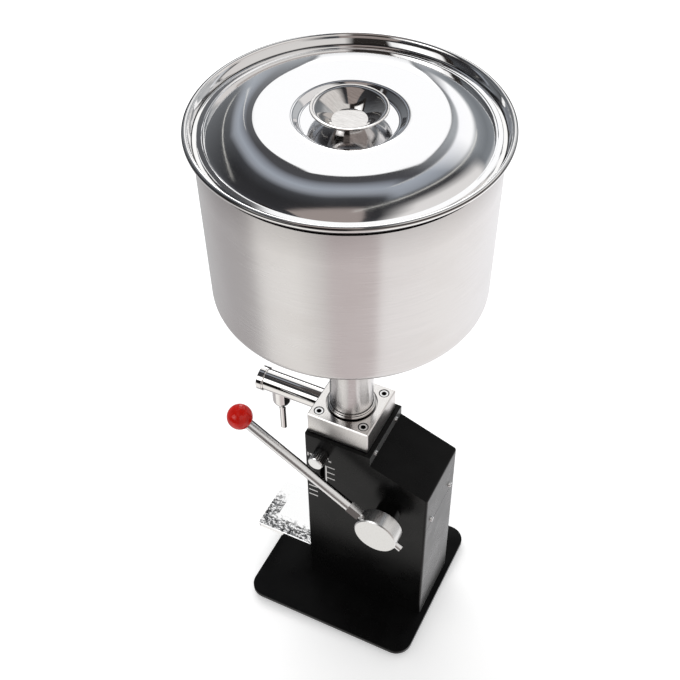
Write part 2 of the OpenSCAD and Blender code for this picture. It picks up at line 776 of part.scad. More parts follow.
module valve_block() {
    mid_z = (top_z + block_z)/2;
    color([0.72, 0.71, 0.69]) difference() {
        intersection() {
            translate([0, 0, top_z]) linear_extrude(block_h) chamfered_rect(block_w, block_w, block_chamfer);
            translate([0, block_w/2, mid_z]) rotate([90, 0, 0]) linear_extrude(block_w)
                chamfered_rect(block_w, block_h, block_chamfer);
            translate([-block_w/2, 0, mid_z]) rotate([90, 0, 90]) linear_extrude(block_w)
                chamfered_rect(block_w, block_h, block_chamfer);
        }
        z_bar(top_z - over, top_z + cup_disc_t, (cup_disc_d + screw_fit)/2);
        z_bar(top_z, seat_z, chamber_d/2);
        z_bar(top_z, block_z, seat_r);
        z_cone(seat_z + seat_web, spigot_z, seat_r, throat_r);
        z_bar(spigot_z, block_z, spigot_r + screw_fit/2);
        z_bar(ring_z, block_z + over, ring_r);
        z_ring(ring_z - neck_seal_h, ring_z + over, neck_seal_r + neck_seal_w, neck_seal_r);
        y_bar(-block_w/2 - over, -block_w/2 + socket_l, tube_r + screw_fit/2, 0, tube_z);
        y_bar(-block_w/2, 0, port_r, 0, tube_z);
        for (x = [-1, 1], y = [-1, 1]) {
            z_bar(top_z - over, block_z + over, (block_screw_d + screw_fit)/2,
                x*block_screw_at, y*block_screw_at);
            z_bar(block_z - block_head_h - block_head_room, block_z + over, head_pocket_d/2,
                x*block_screw_at, y*block_screw_at);
        }
    }
}

module block_screws() {
    head_z = block_z - block_head_h - block_head_room;
    color([0.65, 0.65, 0.65]) for (x = [-1, 1], y = [-1, 1])
        translate([x*block_screw_at, y*block_screw_at, head_z])
            cap_screw(block_screw_d, head_z - top_z + block_screw_grip, block_head_d, block_head_h);
}

module cylinder_tube() {
    difference() {
        union() {
            z_bar(cylinder_z, top_z, cylinder_r);
            z_bar(top_z - flange_t, top_z, flange_r);
        }
        z_bar(cylinder_z - over, top_z + over, bore_r);
    }
}

module cylinder_sleeve() {
    color([0.7, 0.71, 0.72]) cylinder_tube();
}

module inlet_spring_cup() {
    cup_r = cup_bore_r + cup_wall;
    color([0.7, 0.71, 0.72]) difference() {
        union() {
            z_bar(top_z, top_z + cup_disc_t, cup_disc_d/2);
            z_bar(top_z - cup_drop, top_z + cup_disc_t, cup_r);
        }
        z_bar(top_z - cup_drop + cup_floor, top_z + cup_disc_t + over, cup_bore_r);
        for (i = [0:flow_holes - 1]) rotate(360*i/flow_holes)
            z_bar(top_z - over, top_z + cup_disc_t + over, flow_hole_r, flow_ring_r);
    }
}

module inlet_valve_spring() {
    ball_touch = inlet_ball_z - sqrt(ball_r*ball_r - inlet_coil_r*inlet_coil_r);
    color([0.6, 0.62, 0.64]) coil(top_z - cup_drop + cup_floor, ball_touch - spring_play, inlet_coil_r,
        inlet_wire_r, inlet_curls);
}

module inlet_valve_ball() {
    color([0.8, 0.8, 0.82]) translate([0, 0, inlet_ball_z]) sphere(ball_r);
}

module neck_seal() {
    color([0.1, 0.1, 0.1]) z_ring(ring_z - neck_seal_h, ring_z, neck_seal_r + neck_seal_w, neck_seal_r);
}

module discharge_tube() {
    tube_end = -tube_reach + cap_floor + cap_seal_t;
    color([0.74, 0.73, 0.71]) difference() {
        union() {
            y_bar(tube_end, -block_w/2 + socket_l, tube_r, 0, tube_z);
            z_bar(cone_z, tube_z, cone_top_r, 0, -outlet_front);
            z_bar(outlet_seat_z, cone_z, outlet_plug_r, 0, -outlet_front);
        }
        y_bar(tube_end - over, -block_w/2 + socket_l + over, tube_r - tube_t, 0, tube_z);
        z_bar(outlet_seat_z - over, tube_z, outlet_seat_r, 0, -outlet_front);
    }
}

module tube_end_cap() {
    groove_end = -tube_reach + cap_l - cap_groove_off;
    color([0.74, 0.73, 0.71]) difference() {
        translate([0, -tube_reach + cap_l, tube_z]) rotate([90, 0, 0])
            chamfered_disc(cap_r, cap_l, cap_chamfer);
        y_bar(-tube_reach + cap_floor, -tube_reach + cap_l + over, tube_r + screw_fit/2, 0, tube_z);
        difference() {
            y_bar(groove_end - cap_groove_w, groove_end, cap_r + over, 0, tube_z);
            y_bar(groove_end - cap_groove_w - over, groove_end + over, cap_r - cap_groove_depth, 0, tube_z);
        }
    }
}

module cap_seal() {
    color([0.85, 0.84, 0.8])
        y_bar(-tube_reach + cap_floor, -tube_reach + cap_floor + cap_seal_t, tube_r, 0, tube_z);
}

module outlet_cone() {
    neck_z = cone_low_z + cone_neck_h;
    outline = rounded([
        [0, cone_low_z], [cone_end_r, cone_low_z], [cone_end_r, neck_z], [cone_top_r, neck_z + cone_taper_h],
        [cone_top_r, cone_z], [0, cone_z]
    ], [0, 0, cone_neck_round, cone_shoulder_round, 0, 0]);
    color([0.74, 0.73, 0.71]) difference() {
        translate([0, -outlet_front, 0]) rotate_extrude() polygon(outline);
        z_bar(outlet_seat_z, cone_z + over, outlet_plug_r + screw_fit/2, 0, -outlet_front);
        z_cone(ledge_z, outlet_seat_z, cone_ledge_r, outlet_plug_r - screw_fit, 0, -outlet_front);
        z_bar(cone_low_z - over, ledge_z, spout_bore_r, 0, -outlet_front);
        z_bar(cone_low_z - over, cone_low_z + spout_in, spout_root_r + screw_fit/2, 0, -outlet_front);
        z_bar(cone_low_z, ledge_z + over, spout_bore_r, 0, -outlet_front);
    }
}

module spout() {
    step_z = cone_low_z - spout_step_l;
    color([0.74, 0.73, 0.71]) difference() {
        union() {
            z_bar(cone_low_z - spout_l, step_z, spout_d/2, 0, -outlet_front);
            z_bar(step_z, cone_low_z + spout_in, spout_root_r, 0, -outlet_front);
        }
        z_bar(cone_low_z - spout_l - over, cone_low_z + spout_in + over, spout_bore_r, 0, -outlet_front);
    }
}

module outlet_valve_ball() {
    color([0.8, 0.8, 0.82]) translate([0, -outlet_front, outlet_ball_z]) sphere(outlet_ball_r);
}

module outlet_valve_spring() {
    ball_touch = outlet_ball_z - sqrt(outlet_ball_r*outlet_ball_r - outlet_coil_r*outlet_coil_r);
    color([0.6, 0.62, 0.64]) translate([0, -outlet_front, 0])
        coil(ledge_z, ball_touch - spring_play, outlet_coil_r, outlet_wire_r, outlet_curls);
}

module bearing_boss_right() {
    color([0.08, 0.08, 0.08]) x_ring(side_x, side_x + boss_l, boss_r, bush_r, shaft_back, shaft_z);
}

module bearing_boss_left() {
    color([0.08, 0.08, 0.08])
        x_ring(-inner_x, -inner_x + left_boss_l, boss_r, bush_r, shaft_back, shaft_z);
}

// Flanged bush, its flange against the panel's inner or outer face
module shaft_bush(x0, x1, flange_x) {
    color([0.72, 0.55, 0.3]) difference() {
        union() {
            x_bar(x0, x1, bush_r, shaft_back, shaft_z);
            x_bar(flange_x, flange_x + bush_flange_t, bush_flange_r, shaft_back, shaft_z);
        }
        x_bar(x0 - over, x1 + over, shaft_r + turn_fit/2, shaft_back, shaft_z);
    }
}

module shaft_bush_right() {
    shaft_bush(inner_x - bush_flange_t, side_x + boss_l, inner_x - bush_flange_t);
}

module shaft_bush_left() {
    shaft_bush(-side_x - bush_flange_t, -inner_x + left_boss_l, -side_x - bush_flange_t);
}

// The bore through the hub and the shaft, along the lever's rod
module lever_line() {
    translate([rod_x, shaft_back, shaft_z]) rotate([-lever_angle, 0, 0]) rotate([90, 0, 0]) children();
}

module lever_shaft() {
    color([0.55, 0.56, 0.58]) difference() {
        x_bar(retainer_x - retainer_t - shaft_tail, hub_x + hub_t*shaft_end_share, shaft_r, shaft_back,
            shaft_z);
        lever_line() z_bar(-hub_d, hub_d, thread_r + screw_fit/2);
        x_ring(retainer_x - retainer_t, retainer_x, shaft_r + over, shaft_r - retainer_groove, shaft_back,
            shaft_z);
    }
}

module shaft_retainer() {
    color([0.3, 0.3, 0.32]) x_ring(retainer_x - retainer_t, retainer_x, shaft_r + retainer_wall,
        shaft_r - retainer_groove, shaft_back, shaft_z);
}

// An arm's outline in Y and Z about the shaft's axis, reaching forwards along -Y
module arm_2d() {
    circle(arm_hub_r);
    polygon([[0, arm_hub_r], [-shaft_back, arm_end_r], [-shaft_back, -arm_end_r], [0, -arm_hub_r]]);
    slot_2d([-slot_in, 0], [-slot_out, 0], arm_end_r);
}

module arm_holes_2d() {
    circle(shaft_r);
    slot_2d([-slot_in, 0], [-slot_out, 0], slot_r);
}

// The horn that meets the volume stop, with the nose at its tip
module horn_2d() {
    tip = [-nose_along, nose_up];
    polygon([[-shaft_back/2, 0], [-slot_out, -arm_end_r*horn_share], tip + [-nose_r, 0], tip + [0, nose_r],
        [-shaft_back/2, arm_hub_r*horn_share]]);
    translate(tip) circle(nose_r);
}

module swing_arm(x0, with_horn) {
    color([0.45, 0.46, 0.48]) translate([x0, shaft_back, shaft_z]) rotate([90, 0, 90])
        linear_extrude(arm_t) rotate(swing) difference() {
            union() {
                arm_2d();
                if (with_horn) horn_2d();
            }
            arm_holes_2d();
        }
}

module swing_arm_right() {
    swing_arm(arm_x, true);
}

module swing_arm_left() {
    swing_arm(-arm_x - arm_t, false);
}

module lever_hub() {
    color([0.75, 0.76, 0.77]) difference() {
        translate([hub_x, shaft_back, shaft_z]) rotate([0, 90, 0])
            chamfered_disc(hub_d/2, hub_t, hub_chamfer);
        x_bar(hub_x - over, hub_x + hub_t*shaft_end_share, shaft_r, shaft_back, shaft_z);
        lever_line() z_bar(-hub_d, hub_d, thread_r + screw_fit/2);
    }
}

module lever_rod() {
    color([0.78, 0.78, 0.79]) lever_line() union() {
        z_bar(-hub_d/2 - thread_tail, rod_start, thread_r);
        z_bar(rod_start, rod_end, lever_rod_d/2);
        z_bar(rod_end, rod_end + ball_thread_l, thread_r);
    }
}

module lever_jam_nut() {
    color([0.75, 0.75, 0.77]) lever_line() difference() {
        translate([0, 0, hub_d/2 + nut_off]) cylinder(h = nut_l, r = nut_r, $fn = 6);
        z_bar(hub_d/2, rod_start + over, thread_r + screw_fit/2);
    }
}

module ball_knob() {
    r = ball_knob_d/2;
    color([0.78, 0.08, 0.1]) lever_line() difference() {
        translate([0, 0, lever_reach]) sphere(r);
        z_bar(lever_reach - ball_knob_d, rod_end, ball_knob_d);
        z_bar(rod_end - over, rod_end + ball_thread_l + over, thread_r + screw_fit/2);
    }
}

module piston() {
    color([0.8, 0.8, 0.82]) difference() {
        z_bar(piston_z - piston_l, piston_z, bore_r - turn_fit/2);
        for (i = [0:seals - 1]) let (z = piston_z - seal_land - i*(seal_h + seal_space))
            z_ring(z - seal_h, z, bore_r + over, bore_r - seal_depth);
        z_bar(piston_z - piston_l - over, piston_z - piston_l + rod_stud_l, rod_stud_r + screw_fit/2);
    }
}

module piston_seals() {
    color([0.1, 0.1, 0.1]) for (i = [0:seals - 1]) let (z = piston_z - seal_land - i*(seal_h + seal_space))
        z_ring(z - seal_h, z, bore_r - turn_fit/4, bore_r - seal_depth);
}

module piston_rod() {
    low = piston_z - piston_l;
    color([0.72, 0.72, 0.74]) difference() {
        union() {
            z_bar(pin_z, low, rod_d/2);
            z_bar(low, low + rod_stud_l, rod_stud_r);
            x_bar(-eye_w/2, eye_w/2, eye_r, 0, pin_z);
        }
        x_bar(-eye_w, eye_w, pin_r + turn_fit/2, 0, pin_z);
    }
}

module crosshead_pin() {
    clip_x = pin_half - pin_tail;
    color([0.6, 0.6, 0.62]) difference() {
        x_bar(-pin_half, pin_half, pin_r, 0, pin_z);
        for (x = [-clip_x, clip_x - clip_t])
            x_ring(x, x + clip_t, pin_r + over, pin_r - clip_groove, 0, pin_z);
    }
}

module pin_clips() {
    clip_x = pin_half - pin_tail;
    color([0.3, 0.3, 0.32]) for (x = [-clip_x, clip_x - clip_t])
        x_ring(x, x + clip_t, pin_r + clip_wall, pin_r - clip_groove, 0, pin_z);
}

module volume_stop_block() {
    face_x = inner_x - slide_gap;
    color([0.5, 0.5, 0.52]) difference() {
        translate([stop_x, -stop_front - stop_w/2, stop_z - stop_h/2])
            cube([face_x - stop_x, stop_w, stop_h]);
        x_bar(face_x - stud_in, face_x + over, (stud_d + screw_fit)/2, -stop_front, stop_z);
    }
}

module volume_stud() {
    end_x = side_x + slide_gap + washer_t + volume_knob_l - knob_floor;
    color([0.65, 0.65, 0.66]) x_bar(inner_x - slide_gap - stud_in, end_x, stud_r, -stop_front, stop_z);
}

module volume_washer() {
    color([0.7, 0.7, 0.72]) x_ring(side_x + slide_gap, side_x + slide_gap + washer_t, washer_r,
        (stud_d + screw_fit)/2, -stop_front, stop_z);
}

module volume_knob() {
    knob_x = side_x + slide_gap + washer_t;
    color([0.75, 0.75, 0.76]) difference() {
        translate([knob_x, -stop_front, stop_z]) rotate([0, 90, 0])
            chamfered_disc(volume_knob_d/2, volume_knob_l, knob_chamfer);
        x_bar(knob_x - over, knob_x + volume_knob_l - knob_floor, (stud_d + turn_fit)/2, -stop_front, stop_z);
    }
}

module hopper() {
    inner_foot_r = hopper_foot_r - hopper_t;
    edge_z = hopper_z + hopper_floor_fall;
    fold_z = rest_z - fold_h;
    seat_in_r = hopper_wall_r - ledge_in;
    rim_r = hopper_wall_r + ledge_out;
    rim_foot_r = rim_r - rim_flare;
    under_z = rest_z - hopper_t;
    bead_z = rest_z + rim_h;
    outline = rounded([
        [neck_r, hopper_z], [hopper_foot_r, edge_z], [hopper_wall_r, fold_z],
        [seat_in_r + hopper_t, fold_z + fold_rise], [seat_in_r + hopper_t, under_z],
        [rim_foot_r, under_z], [rim_r, bead_z], [rim_r - hopper_t, bead_z], [rim_foot_r - hopper_t, rest_z],
        [seat_in_r, rest_z],
        [seat_in_r, fold_z + fold_rise - hopper_t], [hopper_wall_r - hopper_t, fold_z - hopper_t],
        [inner_foot_r, edge_z + hopper_t], [neck_r, hopper_z + hopper_t]
    ], [0, hopper_corner_r, 0, 0, 0, rim_bend_r, 0, 0, 0, 0, 0, 0, hopper_corner_r - hopper_t, 0]);
    color([0.72, 0.7, 0.69]) rotate_extrude() {
        polygon(outline);
        translate([rim_r - hopper_t + bead_r, bead_z]) circle(bead_r);
    }
}

module hopper_neck() {
    color([0.7, 0.69, 0.68]) z_ring(ring_z + collar_floor, hopper_z + hopper_t, neck_r, neck_r - neck_t);
}

module neck_collar() {
    collar_top_z = block_z + collar_h;
    outline = rounded([[0, ring_z], [collar_d/2, ring_z], [collar_d/2, collar_top_z], [0, collar_top_z]],
        [0, 0, collar_round, 0]);
    color([0.76, 0.76, 0.75]) difference() {
        union() {
            rotate_extrude() polygon(outline);
            z_bar(spigot_z, ring_z, spigot_r);
        }
        z_bar(spigot_z - over, collar_top_z + over, spigot_r - spigot_wall);
        z_bar(ring_z + collar_floor, collar_top_z + over, neck_r);
    }
}

module lid() {
    crown_r = lid_r*lid_crown_share;
    inner_r = lid_r*lid_inner_share;
    middle_r = lid_r*lid_middle_share;
    slope_r = lid_r - lid_edge_w - lid_roll_w;
    edge_z = rest_z + lid_edge_h;
    top = rounded([
        [0, lid_middle_z], [middle_r, lid_middle_z], [inner_r, lid_middle_z + lid_step],
        [crown_r, lid_crown_z], [slope_r, edge_z + lid_t/2], [lid_r - lid_edge_w, edge_z], [lid_r, edge_z],
        [lid_r, rest_z], [lid_r - lid_edge_w, rest_z], [slope_r, edge_z - lid_t/2],
        [crown_r, lid_crown_z - lid_t], [inner_r + lid_t/2, lid_middle_z + lid_step - lid_t],
        [middle_r + lid_t/2, lid_middle_z - lid_t], [0, lid_middle_z - lid_t]
    ], [0, step_round, step_round, crown_round, 0, 0, 0, 0, 0, 0, crown_round, step_round, step_round, 0]);
    color([0.8, 0.8, 0.81]) rotate_extrude() polygon(top);
}

// Inner radius of the knob's wall, flaring outwards from foot to lip, at a share of its height
function flare_r(t) = lid_knob_foot_r + (lid_knob_r - lip_w - lid_knob_foot_r)*(t + flare_share*t*(t - 1));

module lid_knob() {
    z0 = lid_middle_z;
    z1 = z0 + lid_knob_h;
    outer = [for (i = [0:flare_steps]) let (t = i/flare_steps)
        [flare_r(t) + lip_t, z0 + (lid_knob_h - lip_t)*t]];
    inner = [for (i = [flare_steps:-1:0]) let (t = i/flare_steps)
        [flare_r(t), z0 + lip_t + (lid_knob_h - lip_t)*t]];
    color([0.8, 0.8, 0.81]) rotate_extrude() polygon(concat(
        [[0, z0]], outer, [[lid_knob_r, z1 - lip_t], [lid_knob_r, z1]], inner, [[0, z0 + lip_t]]
    ));
}

module bottle_tray() {
    d = tray_back_y - tray_front_y;
    mid_y = (tray_front_y + tray_back_y)/2;
    color([0.78, 0.78, 0.79]) difference() {
        union() {
            translate([0, mid_y, tray_z - tray_lip_h]) linear_extrude(tray_lip_h)
                rounded_rect(tray_w, d, tray_corner_r);
            centred_box(tray_w, tray_back_y - tray_t, tray_back_y, tray_z - tray_lip_h,
                tray_knob_z + tray_flange_over);
        }
        translate([0, mid_y, tray_z - tray_lip_h - over]) linear_extrude(tray_lip_h - tray_t + over)
            rounded_rect(tray_w - 2*tray_t, d - 2*tray_t, tray_corner_r - tray_t);
        translate([0, tray_back_y + over, 0]) rotate([90, 0, 0]) linear_extrude(tray_t + 2*over)
            slot_2d([0, tray_knob_z - tray_travel], [0, tray_knob_z], slot_half);
    }
}

module tray_clamp_knob() {
    face_y = tray_back_y - tray_t - slide_gap;
    color([0.1, 0.1, 0.1]) union() {
        translate([0, face_y - shoulder_l, tray_knob_z]) rotate([90, 0, 0])
        linear_extrude(tray_knob_l) union() {
            circle(tray_knob_d/2 - rib_r);
            for (i = [0:tray_knob_ribs - 1]) rotate(360*i/tray_knob_ribs)
                translate([tray_knob_d/2 - rib_r, 0]) circle(rib_r);
        }
        y_bar(face_y - shoulder_l, face_y, washer_r, 0, tray_knob_z);
        y_bar(face_y, -housing_front + sheet_t + nut_plate_t, stud_r, 0, tray_knob_z);
    }
}

module tray_nut_plate() {
    face_y = -housing_front + sheet_t;
    color([0.6, 0.6, 0.62]) difference() {
        centred_box(nut_plate_w, face_y, face_y + nut_plate_t, tray_knob_z - nut_plate_w/2,
            tray_knob_z + nut_plate_w/2);
        y_bar(face_y - over, face_y + nut_plate_t + over, (stud_d + turn_fit)/2, 0, tray_knob_z);
    }
}

base_plate();
rubber_feet();
foot_screws();
housing_shell();
housing_screws();
access_cover();
cover_screws();
top_plate();
valve_block();
block_screws();
cylinder_sleeve();  // cylinder
inlet_spring_cup();
inlet_valve_spring();
inlet_valve_ball();
neck_seal();
discharge_tube();
tube_end_cap();
cap_seal();
outlet_cone();
spout();
outlet_valve_ball();
outlet_valve_spring();
bearing_boss_right();
bearing_boss_left();
shaft_bush_right();
shaft_bush_left();
lever_shaft();
shaft_retainer();
swing_arm_right();
swing_arm_left();
lever_hub();
lever_rod();
lever_jam_nut();
ball_knob();
piston();
piston_seals();
piston_rod();
crosshead_pin();
pin_clips();
volume_stop_block();
volume_stud();
volume_washer();
volume_knob();
hopper();
hopper_neck();
neck_collar();
lid();
lid_knob();
bottle_tray();
tray_clamp_knob();
tray_nut_plate();
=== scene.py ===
# %% [markdown]
# # A manual paste filling machine
# A stainless hopper stands on a machined valve block, a black sheet-steel housing hides the pump, and a hand
# lever with a red ball works it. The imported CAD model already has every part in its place, so this lesson
# dresses it: it rebuilds the polished and rounded pieces as finer surfaces, gives every part its real finish,
# and sets up a plain studio. Everything is in metres, with the origin on the floor under the hopper.

# %% Load the frame
import math
import mathutils
import bpy
import bmesh
import numpy as np
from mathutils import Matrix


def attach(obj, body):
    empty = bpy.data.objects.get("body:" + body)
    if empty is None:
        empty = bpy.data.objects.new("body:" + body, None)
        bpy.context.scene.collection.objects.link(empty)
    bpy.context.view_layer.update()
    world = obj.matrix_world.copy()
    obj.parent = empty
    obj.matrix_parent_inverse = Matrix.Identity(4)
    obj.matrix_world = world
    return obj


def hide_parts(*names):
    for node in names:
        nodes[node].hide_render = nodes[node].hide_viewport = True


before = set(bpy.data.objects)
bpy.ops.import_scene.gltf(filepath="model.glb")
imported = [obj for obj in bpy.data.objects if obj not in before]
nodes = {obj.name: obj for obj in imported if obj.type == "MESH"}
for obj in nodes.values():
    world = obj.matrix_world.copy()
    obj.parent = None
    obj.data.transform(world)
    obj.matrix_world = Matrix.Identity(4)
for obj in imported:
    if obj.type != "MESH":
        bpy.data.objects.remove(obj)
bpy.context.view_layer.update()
mm = 0.001
degree = math.pi / 180

# %% [markdown]
# ## The camera
# A long lens from behind the lever side, 46 degrees above level, looks down on the lid. The place and the turn
# of the camera were worked out from the straight edges and circles of the real object, so the axes of the
# camera are given here as they were found: right, up and back.

# %% Place the camera
picture_px = 680
focal_px = 1123.7
sensor_mm = 36
axis_px = 352.9

camera_data = bpy.data.cameras.new("camera")
camera_data.sensor_width = sensor_mm
camera_data.lens = focal_px * sensor_mm / picture_px
camera_data.shift_x = (picture_px / 2 - axis_px) / picture_px
camera_data.clip_end = 50
camera = bpy.data.objects.new("camera", camera_data)
bpy.context.scene.collection.objects.link(camera)
camera_right = np.array([-0.43812374, 0.89890531, -0.00410343])
camera_up = np.array([-0.64791507, -0.31262105, 0.69460359])
camera_back = np.array([0.62310003, 0.30698099, 0.719381])
turn = np.eye(4)
turn[:3, 0], turn[:3, 1], turn[:3, 2] = camera_right, camera_up, camera_back
turn[:3, 3] = [0.73213, 0.36251, 1.26118]
camera.matrix_world = mathutils.Matrix(turn.tolist())
bpy.context.scene.camera = camera
print("lens %.1f mm, shift %.3f" % (camera_data.lens, camera_data.shift_x))

# %% [markdown]
# ## Helpers for surfaces
# Most pieces here were turned on a lathe, spun, or cut from plate. A turned piece is a profile carried round an
# axis, and a plate with softened edges is a stack of outlines, each a little larger or smaller than the last.
# Both are grids of points, so one function turns a grid into a closed mesh. It joins the points that meet at a
# pole, checks by the enclosed volume that the faces point outwards, and keeps edges sharper than 30 degrees
# crisp.

# %% Turn a grid of points into a closed piece
def grid_mesh(name, points):
    """points is rows x columns x 3. Both directions close on themselves: quad (i, j) joins rows i, i+1 and
    columns j, j+1, counted round. A row of equal points makes a pole."""
    rows, cols = points.shape[:2]
    i, j = np.meshgrid(np.arange(rows), np.arange(cols), indexing="ij")
    i2, j2 = (i + 1) % rows, (j + 1) % cols
    quads = np.stack([i * cols + j, i * cols + j2, i2 * cols + j2, i2 * cols + j], -1).reshape(-1, 4)
    flat = points.reshape(-1, 3)
    a, b, c, d = (flat[quads[:, k]] for k in range(4))
    volume = (a * (np.cross(b, c) + np.cross(c, d))).sum() / 6
    if volume < 0:
        quads = quads[:, ::-1]
    mesh = bpy.data.meshes.new(name)
    mesh.from_pydata(flat.tolist(), [], quads.tolist())
    clean = bmesh.new()
    clean.from_mesh(mesh)
    bmesh.ops.remove_doubles(clean, verts=clean.verts, dist=1e-6)
    bmesh.ops.dissolve_degenerate(clean, edges=clean.edges, dist=1e-7)
    clean.to_mesh(mesh)
    clean.free()
    return mesh


def place(name, mesh, body, finish, *replaced):
    """Shades a mesh smooth up to 30 degrees, gives it its finish, and lets it ride on its body."""
    mesh.polygons.foreach_set("use_smooth", np.ones(len(mesh.polygons), bool))
    mesh.set_sharp_from_angle(angle=30 * degree)
    mesh.materials.append(finish)
    piece = bpy.data.objects.new(name, mesh)
    bpy.context.scene.collection.objects.link(piece)
    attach(piece, body)
    if replaced:
        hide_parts(*replaced)
    print("%s: %d faces" % (name, len(mesh.polygons)))
    return piece


# %% Round the corners of an outline
def rounded(corners, radii, steps=8):
    """Each corner becomes an arc of its radius r that touches both sides. The arc's centre lies on the
    bisector, r/sin(half the corner's angle) from the corner. Radius 0 keeps the corner."""
    pts = [np.array(p, float) for p in corners]
    out = []
    for k, p in enumerate(pts):
        r = radii[k]
        if r == 0:
            out.append(p[None])
            continue
        u, v = pts[k - 1] - p, pts[(k + 1) % len(pts)] - p
        u, v = u / np.linalg.norm(u), v / np.linalg.norm(v)
        half = math.acos(np.clip(u @ v, -1, 1)) / 2
        centre = p + (u + v) / np.linalg.norm(u + v) * r / math.sin(half)
        first, last = p + u * r / math.tan(half) - centre, p + v * r / math.tan(half) - centre
        start = math.atan2(first[1], first[0])
        sweep = (math.atan2(last[1], last[0]) - start + math.pi) % (2 * math.pi) - math.pi
        t = start + sweep * np.linspace(0, 1, steps + 1)
        out.append(centre + r * np.stack([np.cos(t), np.sin(t)], -1))
    return np.concatenate(out)


# %% Carry a profile round an axis
def axes_along(direction):
    """Three axes at right angles, the last one along the direction."""
    c = np.array(direction, float) / np.linalg.norm(direction)
    a = np.cross(c, [0, 0, 1] if abs(c[2]) < 0.9 else [0, -1, 0])
    a = a / np.linalg.norm(a)
    return a, np.cross(c, a), c


def turned(name, profile, centre=(0, 0, 0), along=(0, 0, 1), turns=160):
    """A surface of revolution. A point (r, h) of the closed profile, in millimetres, goes to
    centre + r*(cos u, sin u) across the axis + h along it."""
    a, b, c = axes_along(along)
    r, h = np.array(profile, float).T
    u = np.linspace(0, 2 * math.pi, turns, endpoint=False)
    ring = np.cos(u)[:, None] * a + np.sin(u)[:, None] * b
    points = np.array(centre, float) + r[:, None, None] * ring + h[:, None, None] * c
    return grid_mesh(name, points * mm)


# %% Stack outlines into a plate
def box_outline(w, d, r, per_corner=10):
    """A rectangle w x d about the origin with corner radius r, counted round from its first corner."""
    r = max(r, 1e-4)
    t = np.concatenate([np.linspace(q, q + math.pi / 2, per_corner) for q in np.arange(4) * math.pi / 2])
    side = np.repeat(np.arange(4), per_corner)
    sx, sy = np.array([1, -1, -1, 1])[side], np.array([1, 1, -1, -1])[side]
    return np.stack([sx * (w / 2 - r) + r * np.cos(t), sy * (d / 2 - r) + r * np.sin(t)], -1)


def plate(name, w, d, r, steps, centre):
    """A plate whose section is a list of (inset, height) steps: the outline moved in by the inset, at the
    height. The first and the last outline are closed to a point in their middle."""
    rings = []
    for inset, h in steps:
        outline = box_outline(w - 2 * inset, d - 2 * inset, r - inset)
        rings.append(np.column_stack([outline, np.full(len(outline), h)]))
    low, high = (np.tile(np.append(ring[:, :2].mean(0), ring[0, 2]), (len(ring), 1))
                 for ring in (rings[0], rings[-1]))
    points = np.array([low] + rings + [high]) + np.array(centre, float)
    return grid_mesh(name, points * mm)


def edge_round(r, at, low, steps=4):
    """The (inset, height) steps of a rounded edge of radius r that starts at height at, upwards or down."""
    t = np.linspace(0, math.pi / 2, steps + 1)
    sign = -1 if low else 1
    pts = np.column_stack([r - r * np.cos(t), at + sign * r * np.sin(t)])
    return pts[::-1].tolist() if low else pts.tolist()


# %% [markdown]
# ## Helpers for finishes
# A colour is written as it looks on a screen, in sRGB hex, and one function turns it into the linear light that
# the shader works with. One more function adds a node: its settings are the node's own properties, its inputs
# are numbers or the sockets of other nodes.

# %% Colours and nodes
def linear(code):
    """sRGB hex to linear: below 0.04045 a share is divided by 12.92, above it ((c + 0.055)/1.055)^2.4."""
    c = np.array([int(code[k:k + 2], 16) for k in (0, 2, 4)]) / 255
    return tuple(np.where(c <= 0.04045, c / 12.92, ((c + 0.055) / 1.055) ** 2.4)) + (1.0,)


def add(tree, kind, inputs=None, **settings):
    """Adds a node, sets its properties, and sets or links its inputs."""
    node = tree.nodes.new("ShaderNode" + kind)
    for key, value in settings.items():
        setattr(node, key, value)
    for key, value in (inputs or {}).items():
        if isinstance(value, bpy.types.NodeSocket):
            tree.links.new(value, node.inputs[key])
        else:
            node.inputs[key].default_value = value
    return node


def times(tree, first, second):
    return add(tree, "Math", {0: first, 1: second}, operation="MULTIPLY").outputs[0]


def plus(tree, first, second):
    return add(tree, "Math", {0: first, 1: second}, operation="ADD").outputs[0]


def less(tree, first, second):
    return add(tree, "Math", {0: first, 1: second}, operation="SUBTRACT").outputs[0]


def larger(tree, first, second):
    return add(tree, "Math", {0: first, 1: second}, operation="MAXIMUM").outputs[0]


def along(tree, where, direction):
    """How far a place lies along a direction of length 1."""
    return add(tree, "VectorMath", {0: where, 1: direction}, operation="DOT_PRODUCT").outputs["Value"]


def parts(tree, where):
    """The x, y and z of a place."""
    return add(tree, "SeparateXYZ", {0: where}).outputs


def level(tree, where):
    """A place moved level on to the plane z = 0."""
    return add(tree, "VectorMath", {0: where, 1: (1, 1, 0)}, operation="MULTIPLY").outputs[0]


def radius_of(tree, where):
    """The distance from the upright axis through the origin."""
    return add(tree, "VectorMath", {0: level(tree, where)}, operation="LENGTH").outputs["Value"]


def finish(name, colour, metallic, roughness, **more):
    """A new material with one shader: its tree, the shader, and the object's own coordinates."""
    material = bpy.data.materials.new(name)
    material.use_nodes = True
    tree = material.node_tree
    tree.nodes.clear()
    shader = add(tree, "BsdfPrincipled", {"Base Color": linear(colour), "Metallic": metallic,
                                          "Roughness": roughness})
    for key, value in more.items():
        shader.inputs[key.replace("_", " ")].default_value = value
    add(tree, "OutputMaterial", {"Surface": shader.outputs[0]})
    where = add(tree, "TexCoord").outputs["Object"]
    return material, tree, shader, where


def grain(tree, where, sizes_mm, detail=2.0, rough=0.5):
    """Noise whose spots are sizes_mm long in x, y and z: the scale is one over the size in metres."""
    spread = add(tree, "Mapping", {"Vector": where, "Scale": tuple(1 / (s * mm) for s in sizes_mm)})
    return add(tree, "TexNoise", {"Vector": spread.outputs[0], "Scale": 1.0, "Detail": detail,
                                  "Roughness": rough}).outputs["Fac"]


